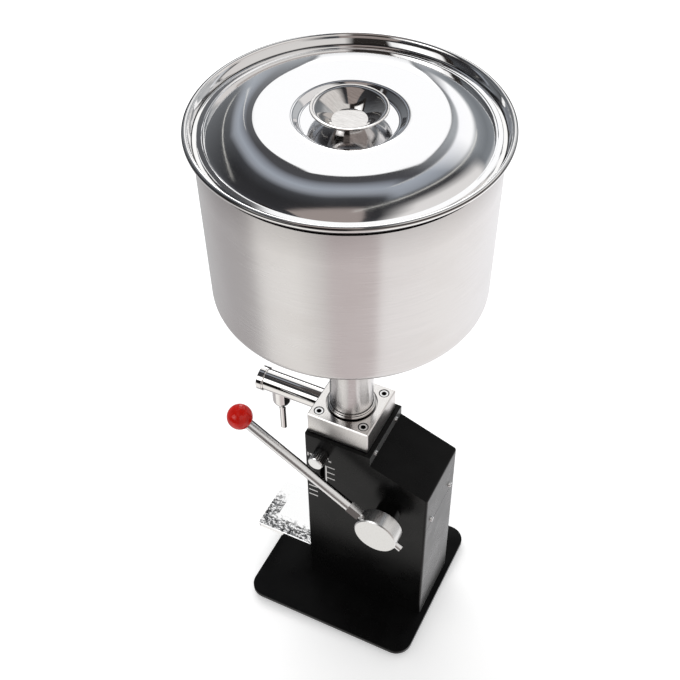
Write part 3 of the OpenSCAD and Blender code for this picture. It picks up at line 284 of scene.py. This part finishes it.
def span(tree, value, low, high, low_to, high_to):
    """Moves a value from one range to another."""
    return add(tree, "MapRange", {"Value": value, "From Min": low, "From Max": high, "To Min": low_to,
                                  "To Max": high_to}).outputs[0]


def within(tree, value, low, high, soft):
    """1 where a value lies between two limits and 0 outside, with soft ends."""
    return times(tree, span(tree, value, low - soft, low + soft, 0, 1),
                 span(tree, value, high - soft, high + soft, 1, 0))


def blend_colours(tree, share, first, second):
    """Mixes two colours, each a hex code or a socket, by a share."""
    mix = add(tree, "Mix", data_type="RGBA")
    tree.links.new(share, mix.inputs[0])
    for slot, value in ((6, first), (7, second)):
        if isinstance(value, str):
            mix.inputs[slot].default_value = linear(value)
        else:
            tree.links.new(value, mix.inputs[slot])
    return mix.outputs[2]


def paint(tree, shader, share, first, second):
    """Gives the shader a mix of two colours as its base colour."""
    tree.links.new(blend_colours(tree, share, first, second), shader.inputs["Base Color"])


def polish_by(tree, shader, noise, low, high):
    """Lets the roughness run from low to high with a noise."""
    tree.links.new(span(tree, noise, 0.3, 0.7, low, high), shader.inputs["Roughness"])


def mottle(tree, noise, first, second):
    """Two close tones of one metal, mixed by a noise."""
    return blend_colours(tree, span(tree, noise, 0.3, 0.7, 0, 1), first, second)


def raise_by(tree, shader, height, depth_mm, strength=1.0):
    """Bumps the shader's normal by a height of 0 to 1 that stands for depth_mm."""
    bump = add(tree, "Bump", {"Height": height, "Distance": depth_mm * mm, "Strength": strength})
    tree.links.new(bump.outputs[0], shader.inputs["Normal"])


finishes = {}
towards_camera = (0.8965, 0.4431, 0)
away = (-0.8965, -0.4431, 0)
print("helpers ready")

# %% [markdown]
# ## Stainless steel
# The hopper is type 304 sheet, brushed round its wall. The brushing leaves short level scratches that spread a
# reflection up and down, so the wall shows soft upright bands and no clear picture of the room. The lid is
# spun from thinner sheet and polished, with faint rings left by the spinning tool. The tube is polished along
# its length, and the block is milled and then rubbed on abrasive cloth.

# %% Brushed wall of the hopper
material, tree, shader, where = finish("brushed_stainless", "e6e4e3", 1.0, 0.25, Anisotropic=0.85,
                                       Anisotropic_Rotation=0.25)
streak = grain(tree, where, (60, 60, 0.9), detail=4.0, rough=0.7)
cloud = grain(tree, where, (70, 70, 45), detail=3.0)
shade = mottle(tree, streak, "e0dedd", "eceae9")
shade = blend_colours(tree, span(tree, cloud, 0.45, 0.75, 0, 0.3), shade, "d5d0cd")
# Painted reflection and shade: the underside is painted dark where it sees the dark housing, and the top of the
# wall darker for the shade of the rim
up = parts(tree, where)[2]
shade = blend_colours(tree, within(tree, up, 0.4938, 0.498, 0.0003), shade, "6f6a68")
paint(tree, shader, span(tree, up, 0.645, 0.677, 0, 0.35), shade, "8d8886")
polish_by(tree, shader, streak, 0.2, 0.28)
around = add(tree, "Tangent", direction_type="RADIAL", axis="Z").outputs[0]
tree.links.new(around, shader.inputs["Tangent"])
raise_by(tree, shader, streak, 0.02, 0.2)
finishes["brushed_stainless"] = material

# %% Polished rim of the hopper
material, tree, shader, where = finish("polished_rim", "f2f1f0", 1.0, 0.07)
swirl = grain(tree, where, (9, 9, 1.5), detail=3.0)
raise_by(tree, shader, swirl, 0.006, 0.1)
polish_by(tree, shader, swirl, 0.03, 0.05)
radius, up = radius_of(tree, where), parts(tree, where)[2]
# Painted shade where the sheet meets the seat, outside at the fold and inside at the rim's foot
crease_shade = times(tree, within(tree, up, 0.6765, 0.6818, 0.0004), span(tree, radius, 0.1376, 0.138, 0, 1))
crease_shade = larger(tree, crease_shade, within(tree, up, 0.6765, 0.6801, 0.0002))
# Painted reflection: a thin dark line along the outer top of the bead, which lies further in on the side away
# from the camera
line_at = span(tree, along(tree, where, away), -0.02, 0.03, 0.14545, 0.1441)
line = times(tree, span(tree, less(tree, radius, line_at), -0.0001, 0.0002, 0, 1),
             span(tree, radius, 0.1458, 0.1461, 1, 0.75))
line = times(tree, line, span(tree, up, 0.6888, 0.6892, 0, 1))
paint(tree, shader, larger(tree, crease_shade, line), "f2f1f0", "2b2928")
finishes["polished_rim"] = material

# %% Spun and polished lid
material, tree, shader, where = finish("polished_stainless", "f3f3f4", 1.0, 0.06)
rings = add(tree, "TexNoise", {"W": span(tree, radius_of(tree, where), 0, 1, 0, 600), "Scale": 1.0,
                               "Detail": 3.0}, noise_dimensions="1D").outputs["Fac"]
dent = grain(tree, where, (45, 45, 45), detail=1.0)
raise_by(tree, shader, span(tree, rings, 0, 1, 0, 1), 0.004, 0.5)
polish_by(tree, shader, dent, 0.04, 0.09)
finishes["polished_stainless"] = material

# %% Brushed cup of the lid's knob
material, tree, shader, where = finish("brushed_knob", "e2e0de", 1.0, 0.07)
swirl = grain(tree, where, (1.2, 9, 6), detail=4.0, rough=0.7)
paint(tree, shader, span(tree, swirl, 0.3, 0.7, 0, 1), "d2cfcd", "eeecea")
raise_by(tree, shader, swirl, 0.01, 0.12)
finishes["brushed_knob"] = material


# %% Polished tube and milled block
def line_along(tree, where, out_of, from_line, soft, faces, from_face, face_soft):
    """1 on a bar's strip beyond a distance out of its axis, on the side that faces a direction."""
    strip = span(tree, less(tree, along(tree, where, out_of), from_line), 0, soft, 0, 1)
    return times(tree, strip, span(tree, along(tree, where, faces), from_face, from_face + face_soft, 0, 1))


material, tree, shader, where = finish("machined_stainless", "f0eeec", 1.0, 0.06)
polish = grain(tree, where, (0.5, 40, 0.5), detail=3.0)
raise_by(tree, shader, polish, 0.004, 0.4)
polish_by(tree, shader, polish, 0.045, 0.085)
# Painted reflection: a dark line along the top of the tube and of its wider cap, where they would mirror the
# hopper's underside
cap_line, tube_line = 0.1949, 0.1935
from_line = span(tree, parts(tree, where)[1], -0.1076, -0.1074, cap_line, tube_line)
line = line_along(tree, where, (-0.7955, 0, 0.606), from_line, 0.0003, (0.606, 0, 0.7955), 0.2398, 0.0004)
paint(tree, shader, line, "f0eeec", "3c3836")
finishes["machined_stainless"] = material


def from_screw(tree, where):
    """The distance from the nearest of the block's four screws, 27 mm from both middle planes."""
    screw_at = (0.027, 0.027, 0)
    fold = add(tree, "VectorMath", {0: where}, operation="ABSOLUTE").outputs[0]
    return add(tree, "VectorMath", {0: level(tree, fold), 1: screw_at}, operation="DISTANCE").outputs["Value"]


material, tree, shader, where = finish("milled_stainless", "eae7e4", 1.0, 0.16)
rub = grain(tree, where, (14, 0.5, 0.5), detail=4.0, rough=0.65)
# Painted shade: the counterbores of the four screws are painted dark for the shade they lie in
pocket_shade = span(tree, from_screw(tree, where), 0.0058, 0.0061, 1, 0)
paint(tree, shader, pocket_shade, mottle(tree, rub, "e0ddda", "f0eeec"), "191716")
# The sides are rougher than the top
side = span(tree, parts(tree, where)[2], 0.3158, 0.3162, 0.16, 0)
tree.links.new(plus(tree, span(tree, rub, 0.3, 0.7, 0.1, 0.16), side), shader.inputs["Roughness"])
raise_by(tree, shader, rub, 0.006, 0.2)
finishes["milled_stainless"] = material

# %% Socket heads of the block's screws
material, tree, shader, where = finish("socket_heads", "e8e8e8", 1.0, 0.12)
fleck = grain(tree, where, (0.8, 0.8, 0.8), detail=2.0)
distance = from_screw(tree, where)
# Painted shade in the hex sockets and in the gap round each head
socket, edge = span(tree, distance, 0.0027, 0.003, 1, 0), span(tree, distance, 0.0046, 0.0049, 0, 1)
paint(tree, shader, larger(tree, socket, edge), mottle(tree, fleck, "e0e0e0", "f0f0f0"), "121110")
finishes["socket_heads"] = material

# %% Bead of the collar
material, tree, shader, where = finish("collar_stainless", "eeecea", 1.0, 0.08)
up = parts(tree, where)[2]
swirl = grain(tree, where, (4, 4, 0.6), detail=3.0)
# Painted shade at the foot of the bead, in its groove and in the bore
foot = span(tree, up, 0.3170, 0.3174, 1, 0)
groove = within(tree, up, 0.3203, 0.3210, 0.0001)
inner = span(tree, radius_of(tree, where), 0.0246, 0.0249, 1, 0)
paint(tree, shader, larger(tree, larger(tree, foot, inner), groove), mottle(tree, swirl, "e2dfdc", "f2f0ee"),
      "171514")
finishes["collar_stainless"] = material

# %% Bright sheet of the tray
material, tree, shader, where = finish("bright_tray_sheet", "f4f4f4", 1.0, 0.06)
crinkle = grain(tree, where, (4.5, 4.5, 4.5), detail=3.0)
wave = grain(tree, where, (15, 15, 15), detail=1.0)
# The hammered texture runs along the front and the lever's side, the middle and the lip are smooth
x, y, z = parts(tree, where)
front = times(tree, span(tree, y, -0.1, -0.108, 0, 1), span(tree, x, -0.022, -0.006, 0, 1))
edges = larger(tree, front, span(tree, x, 0.012, 0.021, 0, 1))
edges = times(tree, edges, span(tree, x, 0.0358, 0.0365, 1, 0))
hammered = times(tree, times(tree, plus(tree, crinkle, wave), edges), 0.8)
# The sheet's slope, 5.8 mm over 110 mm, lets the middle mirror the far wall's window
slope = span(tree, along(tree, where, towards_camera), -0.09, 0.02, 0, 5.8)
raise_by(tree, shader, plus(tree, hammered, slope), 1.0, 1.0)
# Painted reflection: dark specks on the hammered strips, for the dark room mirrored in their dents
reflection_specks = times(tree, span(tree, crinkle, 0.42, 0.5, 0.85, 0), edges)
paint(tree, shader, reflection_specks, "f4f4f4", "333333")
finishes["bright_tray_sheet"] = material
print("stainless finishes:", sorted(finishes))

# %% [markdown]
# ## Black steel, red ball and small metals
# The housing and the base are powder coated: a baked plastic skin, satin, with the fine orange peel that the
# powder leaves when it melts. The ball is moulded phenolic, hard and glossy. The hub is turned aluminium, the
# lever is plated steel, and the hidden parts are ground or plain steel, bronze, rubber and white seal plastic.

# %% Powder coat, phenolic, rubber and plastic
material, tree, shader, where = finish("black_powder_coat", "0c0c0c", 0.0, 0.28, Specular_IOR_Level=0.14)
peel = grain(tree, where, (0.9, 0.9, 0.9), detail=2.0)
dust = grain(tree, where, (30, 30, 30), detail=4.0)
raise_by(tree, shader, peel, 0.03, 0.5)
coat = blend_colours(tree, span(tree, dust, 0.4, 0.75, 0, 1), "0b0b0b", "101010")
# Painted sheen: the faces to the rear are painted paler, for the grazing reflection they show
facing = parts(tree, add(tree, "TexCoord").outputs["Normal"])[1]
coat = blend_colours(tree, span(tree, facing, 0.75, 0.95, 0, 1), coat, "555555")
x, y, z = parts(tree, where)
# The volume scale on the side panel: (y low, y high, z low, z high) in mm
marks = [(-13.4, -11.6, 214.5, 243.4), (-36, -34.2, 250, 256), (-13.2, -9, 256.2, 258.4),
         (-9, -5.6, 252, 254.6), (-33, -29, 253, 255.6)]
marks += [(-11.8, -1.5, low, low + 1.5) for low in (241.6, 231.4, 221.3)]
marks += [(-36, -24.5, low, low + 1.8) for low in (177, 185.5, 194, 202.5)]
printed = None
for y0, y1, z0, z1 in marks:
    mark = times(tree, within(tree, y, y0 * mm, y1 * mm, 0.1 * mm), within(tree, z, z0 * mm, z1 * mm, 0.1 * mm))
    printed = mark if printed is None else larger(tree, printed, mark)
on_side = span(tree, x, 0.0421, 0.0422, 0, 1)
paint(tree, shader, times(tree, printed, on_side), coat, "e4e2e0")
polish_by(tree, shader, dust, 0.24, 0.32)
finishes["black_powder_coat"] = material

material, tree, shader, where = finish("red_phenolic", "d01c14", 0.0, 0.12, Specular_IOR_Level=0.4)
marble = grain(tree, where, (9, 9, 9), detail=3.0)
paint(tree, shader, span(tree, marble, 0.3, 0.7, 0, 1), "c4160d", "d81e14")
finishes["red_phenolic"] = material

for name, dark, light, rough, size in (("black_rubber", "161616", "202020", 0.75, 1.5),
                                       ("black_knob_plastic", "141414", "1b1b1b", 0.45, 1.0),
                                       ("white_seal", "dedbd2", "eae8e0", 0.5, 2.0)):
    material, tree, shader, where = finish(name, dark, 0.0, rough)
    fleck = grain(tree, where, (size, size, size), detail=3.0)
    paint(tree, shader, span(tree, fleck, 0.35, 0.65, 0, 1), dark, light)
    raise_by(tree, shader, fleck, 0.03, 0.4)
    finishes[name] = material

# %% Turned, plated and ground metals
metals = (("bright_steel_fasteners", "dadada", "ececec", 0.14, (0.8, 0.8, 0.8)),
          ("plated_lever_steel", "f0f0f0", "f4f4f4", 0.26, (3, 25, 25)),
          ("machined_aluminium", "e4e4e3", "efefee", 0.3, (6, 0.5, 0.5)),
          ("ground_steel", "a5a5a6", "c0c0c1", 0.22, (0.5, 8, 8)),
          ("plain_steel_plate", "7e7d7b", "949391", 0.42, (5, 5, 5)),
          ("spring_steel", "8d8d90", "a9a9ab", 0.25, (1, 1, 1)),
          ("bearing_bronze", "a9793f", "bf8e52", 0.3, (4, 0.6, 0.6)))
for name, dark, light, rough, sizes in metals:
    material, tree, shader, where = finish(name, dark, 1.0, rough)
    noise = grain(tree, where, sizes, detail=3.0)
    metal = mottle(tree, noise, dark, light)
    polish_by(tree, shader, noise, rough * 0.85, rough * 1.15)
    raise_by(tree, shader, noise, 0.006, 0.3)
    if name == "plated_lever_steel":
        # Painted reflection: the rod has a dark line along its upper side too
        line = line_along(tree, where, (-0.850, 0.2866, 0.441), 0.0528, 0.0005,
                          (0.5256, 0.4628, 0.7127), 0.2126, 0.0004)
        paint(tree, shader, line, metal, "2c2a29")
    else:
        tree.links.new(metal, shader.inputs["Base Color"])
    finishes[name] = material

# %% Knurled rim of the volume stop's knob
knob_box = np.array([corner[:] for corner in nodes["volume_knob"].bound_box])
knob_mid, knob_face = knob_box.mean(0), knob_box[:, 0].max()
half_length = float(knob_face - knob_mid[0])
ridges = 22.0
material, tree, shader, where = finish("knurled_steel", "e8e8e8", 1.0, 0.18)
from_mid = add(tree, "VectorMath", {0: where, 1: tuple(knob_mid)}, operation="SUBTRACT").outputs[0]
x, y, z = parts(tree, from_mid)
angle = add(tree, "Math", {0: z, 1: y}, operation="ARCTAN2").outputs[0]
teeth = add(tree, "Math", {0: times(tree, angle, ridges)}, operation="SINE").outputs[0]
on_rim = span(tree, x, half_length - 0.0012, half_length - 0.0008, 1, 0)
# Painted shade in the valleys between the ridges, which are bumped as well
valley = times(tree, span(tree, teeth, -0.2, 0.2, 1, 0), on_rim)
paint(tree, shader, valley, "eeeeee", "2a2929")
raise_by(tree, shader, span(tree, valley, 0, 1, 1, 0), 0.2, 0.6)
finishes["knurled_steel"] = material

# %% Give every CAD node its finish
special = {"valve_block": "milled_stainless", "hopper_neck": "brushed_stainless",
           "block_screws": "socket_heads", "lid_knob": "brushed_knob", "volume_knob": "knurled_steel"}
for name, node in nodes.items():
    slot = node.material_slots[0].material.name
    node.material_slots[0].material = finishes[special.get(name, slot)]
# The red ball would tint the steel next to it in mirror-like reflections
nodes["ball_knob"].visible_glossy = False
print("finishes:", len(finishes))

# %% [markdown]
# ## The hopper
# The wall widens a little upwards, and near the top the sheet is pressed inwards, so that it forms a ledge for
# the lid. Above the ledge the rim flares out and ends in a rolled bead, which stiffens the edge and leaves
# nothing sharp to wash round. One closed profile carried round the axis gives all of it, inside and outside.

# %% Turn the hopper
foot_r, wall_r, sheet, neck_r = 136.5, 138.5, 1.2, 24.1
hopper_z, seat_z = 494.0, 681.0
edge_z, fold_z, seat_in = hopper_z + 3, seat_z - 3.8, 131.5
rim_foot_r, rim_r, bead_z, bead_r = 139.6, 142.2, seat_z + 7.3, 2.7
bead_mid = rim_r - sheet + bead_r
arrive = math.acos((rim_r - bead_mid) / bead_r)
turn_up = np.linspace(-arrive, math.pi, 28)
bead = np.column_stack([bead_mid + bead_r * np.cos(turn_up), bead_z + bead_r * np.sin(turn_up)])
wall = rounded([(neck_r, hopper_z), (foot_r, edge_z), (wall_r, fold_z), (wall_r - sheet, fold_z),
                (foot_r - sheet, edge_z + sheet), (neck_r, hopper_z + sheet)], [0, 13, 0, 0, 11.8, 0])
hopper = place("hopper_wall", turned("hopper_wall", wall, turns=288), "hopper", finishes["brushed_stainless"],
               "hopper")
flare = (rim_r - rim_foot_r) / (bead_z - seat_z + sheet)
near_bead = rim_r - 3 * flare
outside = rounded([(wall_r - sheet, fold_z), (wall_r, fold_z), (seat_in + sheet, fold_z + 1.4),
                   (seat_in + sheet, seat_z - sheet), (rim_foot_r, seat_z - sheet), (near_bead, bead_z - 3),
                   (rim_r, bead_z - 0.8)], [0, 0.4, 0.3, 0.4, 1.5, 0, 0])
inside = rounded([(rim_r - sheet, bead_z - 0.8), (near_bead - sheet, bead_z - 3),
                  (rim_foot_r - sheet, seat_z), (seat_in, seat_z), (seat_in, fold_z + 0.6),
                  (wall_r - sheet, fold_z)], [0, 0, 1.5, 1.0, 0.3, 0])
rim = place("hopper_rim", turned("hopper_rim", np.concatenate([outside[:-1], bead, inside[1:-1]]), turns=288),
            "hopper", finishes["polished_rim"], "hopper")

# %% [markdown]
# ## The lid and its knob
# The lid is one spun disc: a flat flange, a fine groove, a slope that grows steeper outwards, a broad raised
# ring and a sunk middle. A mirror finish shows every degree of slope as a band of the room, so the slope is
# drawn as one smooth curve. The knob is a low cup with a flared wall and a rolled lip.

# %% Spin the lid
lid_r, lid_low = 134.3, seat_z
slope_out, slope_in, slope_low, slope_rise = 127.2, 84, 683.3, 14.7
slope_r = np.append(np.linspace(slope_out, 87, 20), [85.8, 85, 84.3])
share = (slope_out - slope_r) / (slope_out - slope_in)
slope_h = slope_low + slope_rise * (1 - (1 - share) ** 1.62)
top = [(lid_r, lid_low), (lid_r, 682.5), (lid_r - 0.5, 682.9), (129.8, 683.1), (129.2, 682.5), (128.2, 682.5)]
top += list(zip(slope_r, slope_h)) + [(74, 697.95), (62, 697.8), (52.5, 697.4), (50.6, 696.9),
                                      (49.3, 695.9), (46, 692.1), (44.6, 691), (42.8, 690.6), (0, 690.6)]
under = [(0, 689.6), (43.2, 689.6), (45.3, 690.1), (46.9, 691.4), (50, 695.2), (51, 695.9), (53, 696.4),
         (74, 696.95)]
under += [(r, h - 1) for r, h in zip(slope_r[::-1], slope_h[::-1])][:-1] + [(128.5, 681.4), (129.5, 681)]
lid = place("lid_disc", turned("lid_disc", top + under, turns=256), "lid", finishes["polished_stainless"],
            "lid")

# %% Spin the knob
knob_z, knob_wall = 690.6, 1.2
knob_t = np.linspace(0, 1, 14)
flare = 16 + 16 * (knob_t + 0.35 * knob_t * (knob_t - 1))
wall_out = np.column_stack([flare + knob_wall, knob_z + 13.2 * knob_t])
wall_in = np.column_stack([flare, knob_z + knob_wall + 13.2 * knob_t])[::-1]
lip = [(34.4, 703.6), (34.9, 704.1), (34.9, 704.6), (34.4, 705.0)]
cup = np.concatenate([[(0, knob_z)], wall_out[:-1], lip, [(32.4, 705.0)], wall_in[1:],
                      [(0, knob_z + knob_wall)]])
knob = place("lid_cup", turned("lid_cup", cup), "lid", finishes["brushed_knob"], "lid_knob")

# %% [markdown]
# ## The neck's collar
# The collar is a thick ring turned from bar, welded to the foot of the neck. Its outside is a full bead over a
# narrow groove, and a short spigot under it centres the hopper on the block.

# %% Turn the collar
block_z = 316.3
half_turn = np.linspace(-math.pi / 2, math.pi / 2, 12)
lower_bead = np.column_stack([24.9 + 2.1 * np.cos(half_turn), block_z + 2.2 + 2.1 * np.sin(half_turn)])
upper_bead = np.column_stack([25 + 1.1 * np.cos(half_turn), block_z + 5.6 + 1.1 * np.sin(half_turn)])
spigot = [(17, block_z - 6.5), (20, block_z - 6.5), (20, block_z - 3), (26.9, block_z - 3), (26.9, block_z)]
bore = [(24.15, block_z + 6.6), (24.15, block_z - 1), (17, block_z - 1)]
ring = np.concatenate([spigot, lower_bead, upper_bead, bore])
collar = place("collar_ring", turned("collar_ring", ring, turns=128), "hopper", finishes["collar_stainless"],
               "neck_collar")

# %% [markdown]
# ## Base plate
# Laser-cut steel plate with a coat on it has softened edges, and the thin light line along them is what tells
# the eye where the plate ends. So the plate gets a real 0.8 mm round on its edges.

# %% Cut the base plate
edge_r, plate_low, plate_high = 0.8, 8, 14
steps = edge_round(edge_r, plate_low + edge_r, low=True) + edge_round(edge_r, plate_high - edge_r, low=False)
base = place("base_slab", plate("base_slab", 200, 218, 20, steps, (4.5, 11.25, 0)), "frame",
             finishes["black_powder_coat"], "base_plate")

# %% [markdown]
# ## The studio
# A plain pale floor, soft light from all round and one large soft lamp. Polished steel shows its surroundings
# more than itself, so the sky has what a product studio has round a shiny object: a bright wall behind it, a
# dark ceiling, and the darker side where the camera stands. Only mirror-like reflections see that. The camera
# sees plain white, and diffuse light is an even pale grey.

# %% The sky
scene = bpy.context.scene
scene.view_settings.view_transform = "Standard"
world = bpy.data.worlds.new("studio")
scene.world = world
world.use_nodes = True
tree = world.node_tree
tree.nodes.clear()
ray = add(tree, "LightPath").outputs
direction = add(tree, "TexCoord").outputs["Generated"]
xyz = parts(tree, direction)
height = add(tree, "Math", {0: xyz[2]}, operation="ARCSINE").outputs[0]


def bands(value, low, high, stops):
    """A colour ramp over a value in radians, with its stops in degrees."""
    ramp = add(tree, "ValToRGB", {0: span(tree, value, math.radians(low), math.radians(high), 0, 1)})
    elements = ramp.color_ramp.elements
    while len(elements) < len(stops):
        elements.new(0.5)
    for element, (at, colour) in zip(elements, stops):
        element.position = (at - low) / (high - low)
        element.color = linear(colour)
    return ramp.outputs[0]


# Two flat angles of a direction: tilt, up from the far wall over the top, and swing, to its left or right
far = math.radians(-153.7)
ahead = along(tree, direction, (math.cos(far), math.sin(far), 0))
aside = along(tree, direction, (-math.sin(far), math.cos(far), 0))
tilt = add(tree, "Math", {0: xyz[2], 1: ahead}, operation="ARCTAN2").outputs[0]
swing_true = add(tree, "Math", {0: aside}, operation="ARCSINE").outputs[0]
# Towards the horizon of the far wall the frames come closer to the middle
swing = times(tree, swing_true, span(tree, tilt, -10 * degree, 36 * degree, 1.8, 1.0))


def past(value, edge, slope):
    """How far a value lies past an edge, times a slope, and 0 on the near side of it."""
    return larger(tree, times(tree, less(tree, value, edge), slope), 0.0)


def step(value, low, high, low_to=0, high_to=1):
    """A share that runs between two angles, given in degrees."""
    return span(tree, value, low * degree, high * degree, low_to, high_to)


def between(value, low, high, soft):
    """1 between two angles in degrees and 0 outside, with soft ends."""
    return within(tree, value, low * degree, high * degree, soft * degree)


def all_of(first, *others):
    for other in others:
        first = times(tree, first, other)
    return first


# The bright window in the far wall, and the dark and blue-grey frames round it
over = past(tilt, 52 * degree, 0.78)
left, right = past(swing, 6 * degree, 1.0), past(swing, -13 * degree, -1.0)
off = add(tree, "CombineXYZ", {0: left, 1: right, 2: over}).outputs[0]
off = add(tree, "VectorMath", {0: off}, operation="LENGTH").outputs["Value"]
framed = bands(off, 0, 60, [(0, "ffffff"), (1.2, "454547"), (9, "48484b"), (13, "7f838b"), (17, "9aa0a9"),
                            (20, "8c9097"), (23.5, "3b3c3f"), (29, "29292b"), (42, "333336"), (60, "4c5054")])
# Low down the frames fade to a paler grey
fade = all_of(step(height, 42, 0, 0, 0.72), step(swing_true, 8, 20, 1, 0.45), step(off, 0, 3))
framed = blend_colours(tree, fade, framed, "b2b6ba")
# The far wall's foot is a little greyer
foot = times(tree, step(tilt, -14, 9, 0.85, 0), step(off, 0, 3, 1, 0))
framed = blend_colours(tree, foot, framed, "c6c8ca")


def ring_of(tilt_mid, swing_mid):
    """The distance of a direction from a middle, both in tilt and swing, in radians."""
    flat_at = add(tree, "CombineXYZ", {0: tilt, 1: swing_true}).outputs[0]
    middle = (tilt_mid * degree, swing_mid * degree, 0)
    return add(tree, "VectorMath", {0: flat_at, 1: middle}, operation="DISTANCE").outputs["Value"]


# On the right the frames are rings round one middle, dark high up and paler low down
from_right = ring_of(46.5, 14)
high_right = bands(from_right, 0, 90, [(0, "3e3e41"), (35.5, "424245"), (37, "a2a8b1"), (45, "8c9198"),
                                       (47.5, "3a3a3c"), (90, "2c2c2e")])
low_right = bands(from_right, 0, 90, [(0, "95989b"), (35, "a2a5a8"), (37, "fdfdff"), (45.5, "ffffff"),
                                      (48, "8a8e92"), (53, "74787c"), (57, "84888c"), (62, "b4b6b8"),
                                      (90, "c8c8c8")])
on_right = blend_colours(tree, step(tilt, 40, 62), low_right, high_right)
on_right = blend_colours(tree, step(off, 0, 1.2, 1, 0), on_right, "ffffff")
framed = blend_colours(tree, step(swing_true, -11, -16), framed, on_right)
# A warm patch hangs overhead, and a pale one to its right
patch = all_of(step(over, 28.5, 30), between(swing_true, -5, 24, 0.6), step(tilt, 86, 91, 0.3, 1))
framed = blend_colours(tree, patch, framed, "958b87")
pale = all_of(step(from_right, 50.5, 55), step(swing_true, -11, -24), step(tilt, 44, 52))
framed = blend_colours(tree, pale, framed, "dcd9d7")
# Four thin gaps in the frames, where the light behind them shows as slits
slits = (all_of(between(from_right, 47.6, 48, 0.3), step(swing_true, 0, -2), step(tilt, 28, 33)),
         all_of(between(from_right, 36.2, 36.5, 0.3), step(swing_true, -10, -13), step(tilt, 46, 52)),
         all_of(between(ring_of(74.3, -77.9), 117.5, 117.8, 0.25), between(tilt, 10, 61, 3),
                step(swing_true, 10, 15)),
         all_of(between(swing_true, 17, 17.3, 0.25), between(tilt, 13, 37, 1)))
for slit in slits:
    framed = blend_colours(tree, slit, framed, "fffdf6")

# The camera's half: dark at the height of the machine, with one white window beside the camera
turned_by = add(tree, "Math", {0: aside, 1: ahead}, operation="ARCTAN2").outputs[0]
window = bands(height, -90, 90, [(-90, "d8d6d4"), (-25, "d8d6d4"), (-18, "c8c6c4"), (-16, "121110"),
                                 (12, "141312"), (14, "ffffff"), (45, "ffffff"), (47, "1c1a19"),
                                 (90, "1c1a19")])
dim = bands(height, -90, 90, [(-90, "d8d6d4"), (-25, "d8d6d4"), (-20, "6a6462"), (12, "6a6462"),
                              (20, "2a2725"), (90, "2a2725")])
dull = bands(height, -90, 90, [(-90, "d8d6d4"), (-25, "d8d6d4"), (-20, "b4aca9"), (20, "a8a09d"),
                               (27, "dcdad8"), (90, "dcdad8")])
near_half = blend_colours(tree, between(turned_by, 100, 148, 2), dim, window)
near_half = blend_colours(tree, span(tree, aside, -0.05, 0.05, 1, 0), near_half, dull)
is_far = larger(tree, span(tree, ahead, -0.02, 0.02, 0, 1), step(height, 53, 55))
upper = blend_colours(tree, is_far, near_half, framed)
# Below the machine: soft upright bands all round, as the brushed wall shows them
below = bands(turned_by, -180, 180, [
    (-160, "cbc2c2"), (-155, "efecec"), (-100, "f8f6f5"), (-46, "fcfbfd"), (-0.5, "fcfdff"), (0.5, "c7c8c9"),
    (17, "c7c8c9"), (46, "c0bebf"), (66, "b0adae"), (97, "b4b1b1"), (106, "f0eeec"), (136, "f0eeeb"),
    (152, "dedbd9"), (160, "d2cdcc"), (166, "cbc2c2")])
sky = blend_colours(tree, step(height, -23, -27), upper, below)


def background(colour, strength):
    return add(tree, "Background", {"Color": colour, "Strength": strength}).outputs[0]


white = linear("ffffff")
# Two strong lamps inside the white windows: only the red ball is dark enough to show them
far_lamp = times(tree, times(tree, between(height, 14, 23, 3), between(turned_by, -9, 3, 3)), 3.5)
near_lamp = times(tree, times(tree, between(height, 20, 38, 8), between(turned_by, 116, 132, 10)), 2.5)
glare = background(white, plus(tree, far_lamp, near_lamp))
mirror = add(tree, "AddShader", {0: background(sky, 1.1), 1: glare}).outputs[0]
seen = larger(tree, ray["Is Camera Ray"], ray["Is Transmission Ray"])
lit = add(tree, "MixShader", {0: ray["Is Glossy Ray"], 1: background(white, 0.72), 2: mirror}).outputs[0]
shown = add(tree, "MixShader", {0: seen, 1: lit, 2: background(white, 1.0)}).outputs[0]
add(tree, "OutputWorld", {"Surface": shown})

# %% Floor and softbox
floor_r, floor_sides = 2.6, 96
material, tree, shader, where = finish("pale_floor", "f4f4f4", 0.0, 0.9, Specular_IOR_Level=0.0)
shader.inputs["Emission Color"].default_value = white
fleck = grain(tree, where, (4, 4, 4), detail=2.0)
raise_by(tree, shader, fleck, 0.02, 0.1)
# The floor glows a little for the camera alone, so that its shadows stay faint
is_seen = add(tree, "LightPath").outputs["Is Camera Ray"]
tree.links.new(span(tree, is_seen, 0, 1, 0, 0.32), shader.inputs["Emission Strength"])
floor_mesh = bpy.data.meshes.new("floor")
spin = np.linspace(0, 2 * math.pi, floor_sides, endpoint=False)
edge = np.column_stack([np.cos(spin), np.sin(spin), np.zeros(floor_sides)]) * floor_r
floor_mesh.from_pydata(edge.tolist(), [], [list(range(floor_sides))])
floor_mesh.materials.append(material)
floor = bpy.data.objects.new("floor", floor_mesh)
scene.collection.objects.link(floor)
floor.visible_glossy = False

lamp_data = bpy.data.lights.new("softbox", "AREA")
lamp_data.shape = "RECTANGLE"
lamp_data.size, lamp_data.size_y = 1.6, 1.6
lamp_data.energy = 22
lamp = bpy.data.objects.new("softbox", lamp_data)
lamp.location = (-0.9, -0.7, 2.3)
lit_place = np.array([0, 0, 0.35])
aim = lit_place - np.array(lamp.location)
lamp.rotation_mode = "QUATERNION"
lamp.rotation_quaternion = mathutils.Vector(aim).to_track_quat("-Z", "Y")
lamp.visible_glossy = False
scene.collection.objects.link(lamp)
print("studio ready")
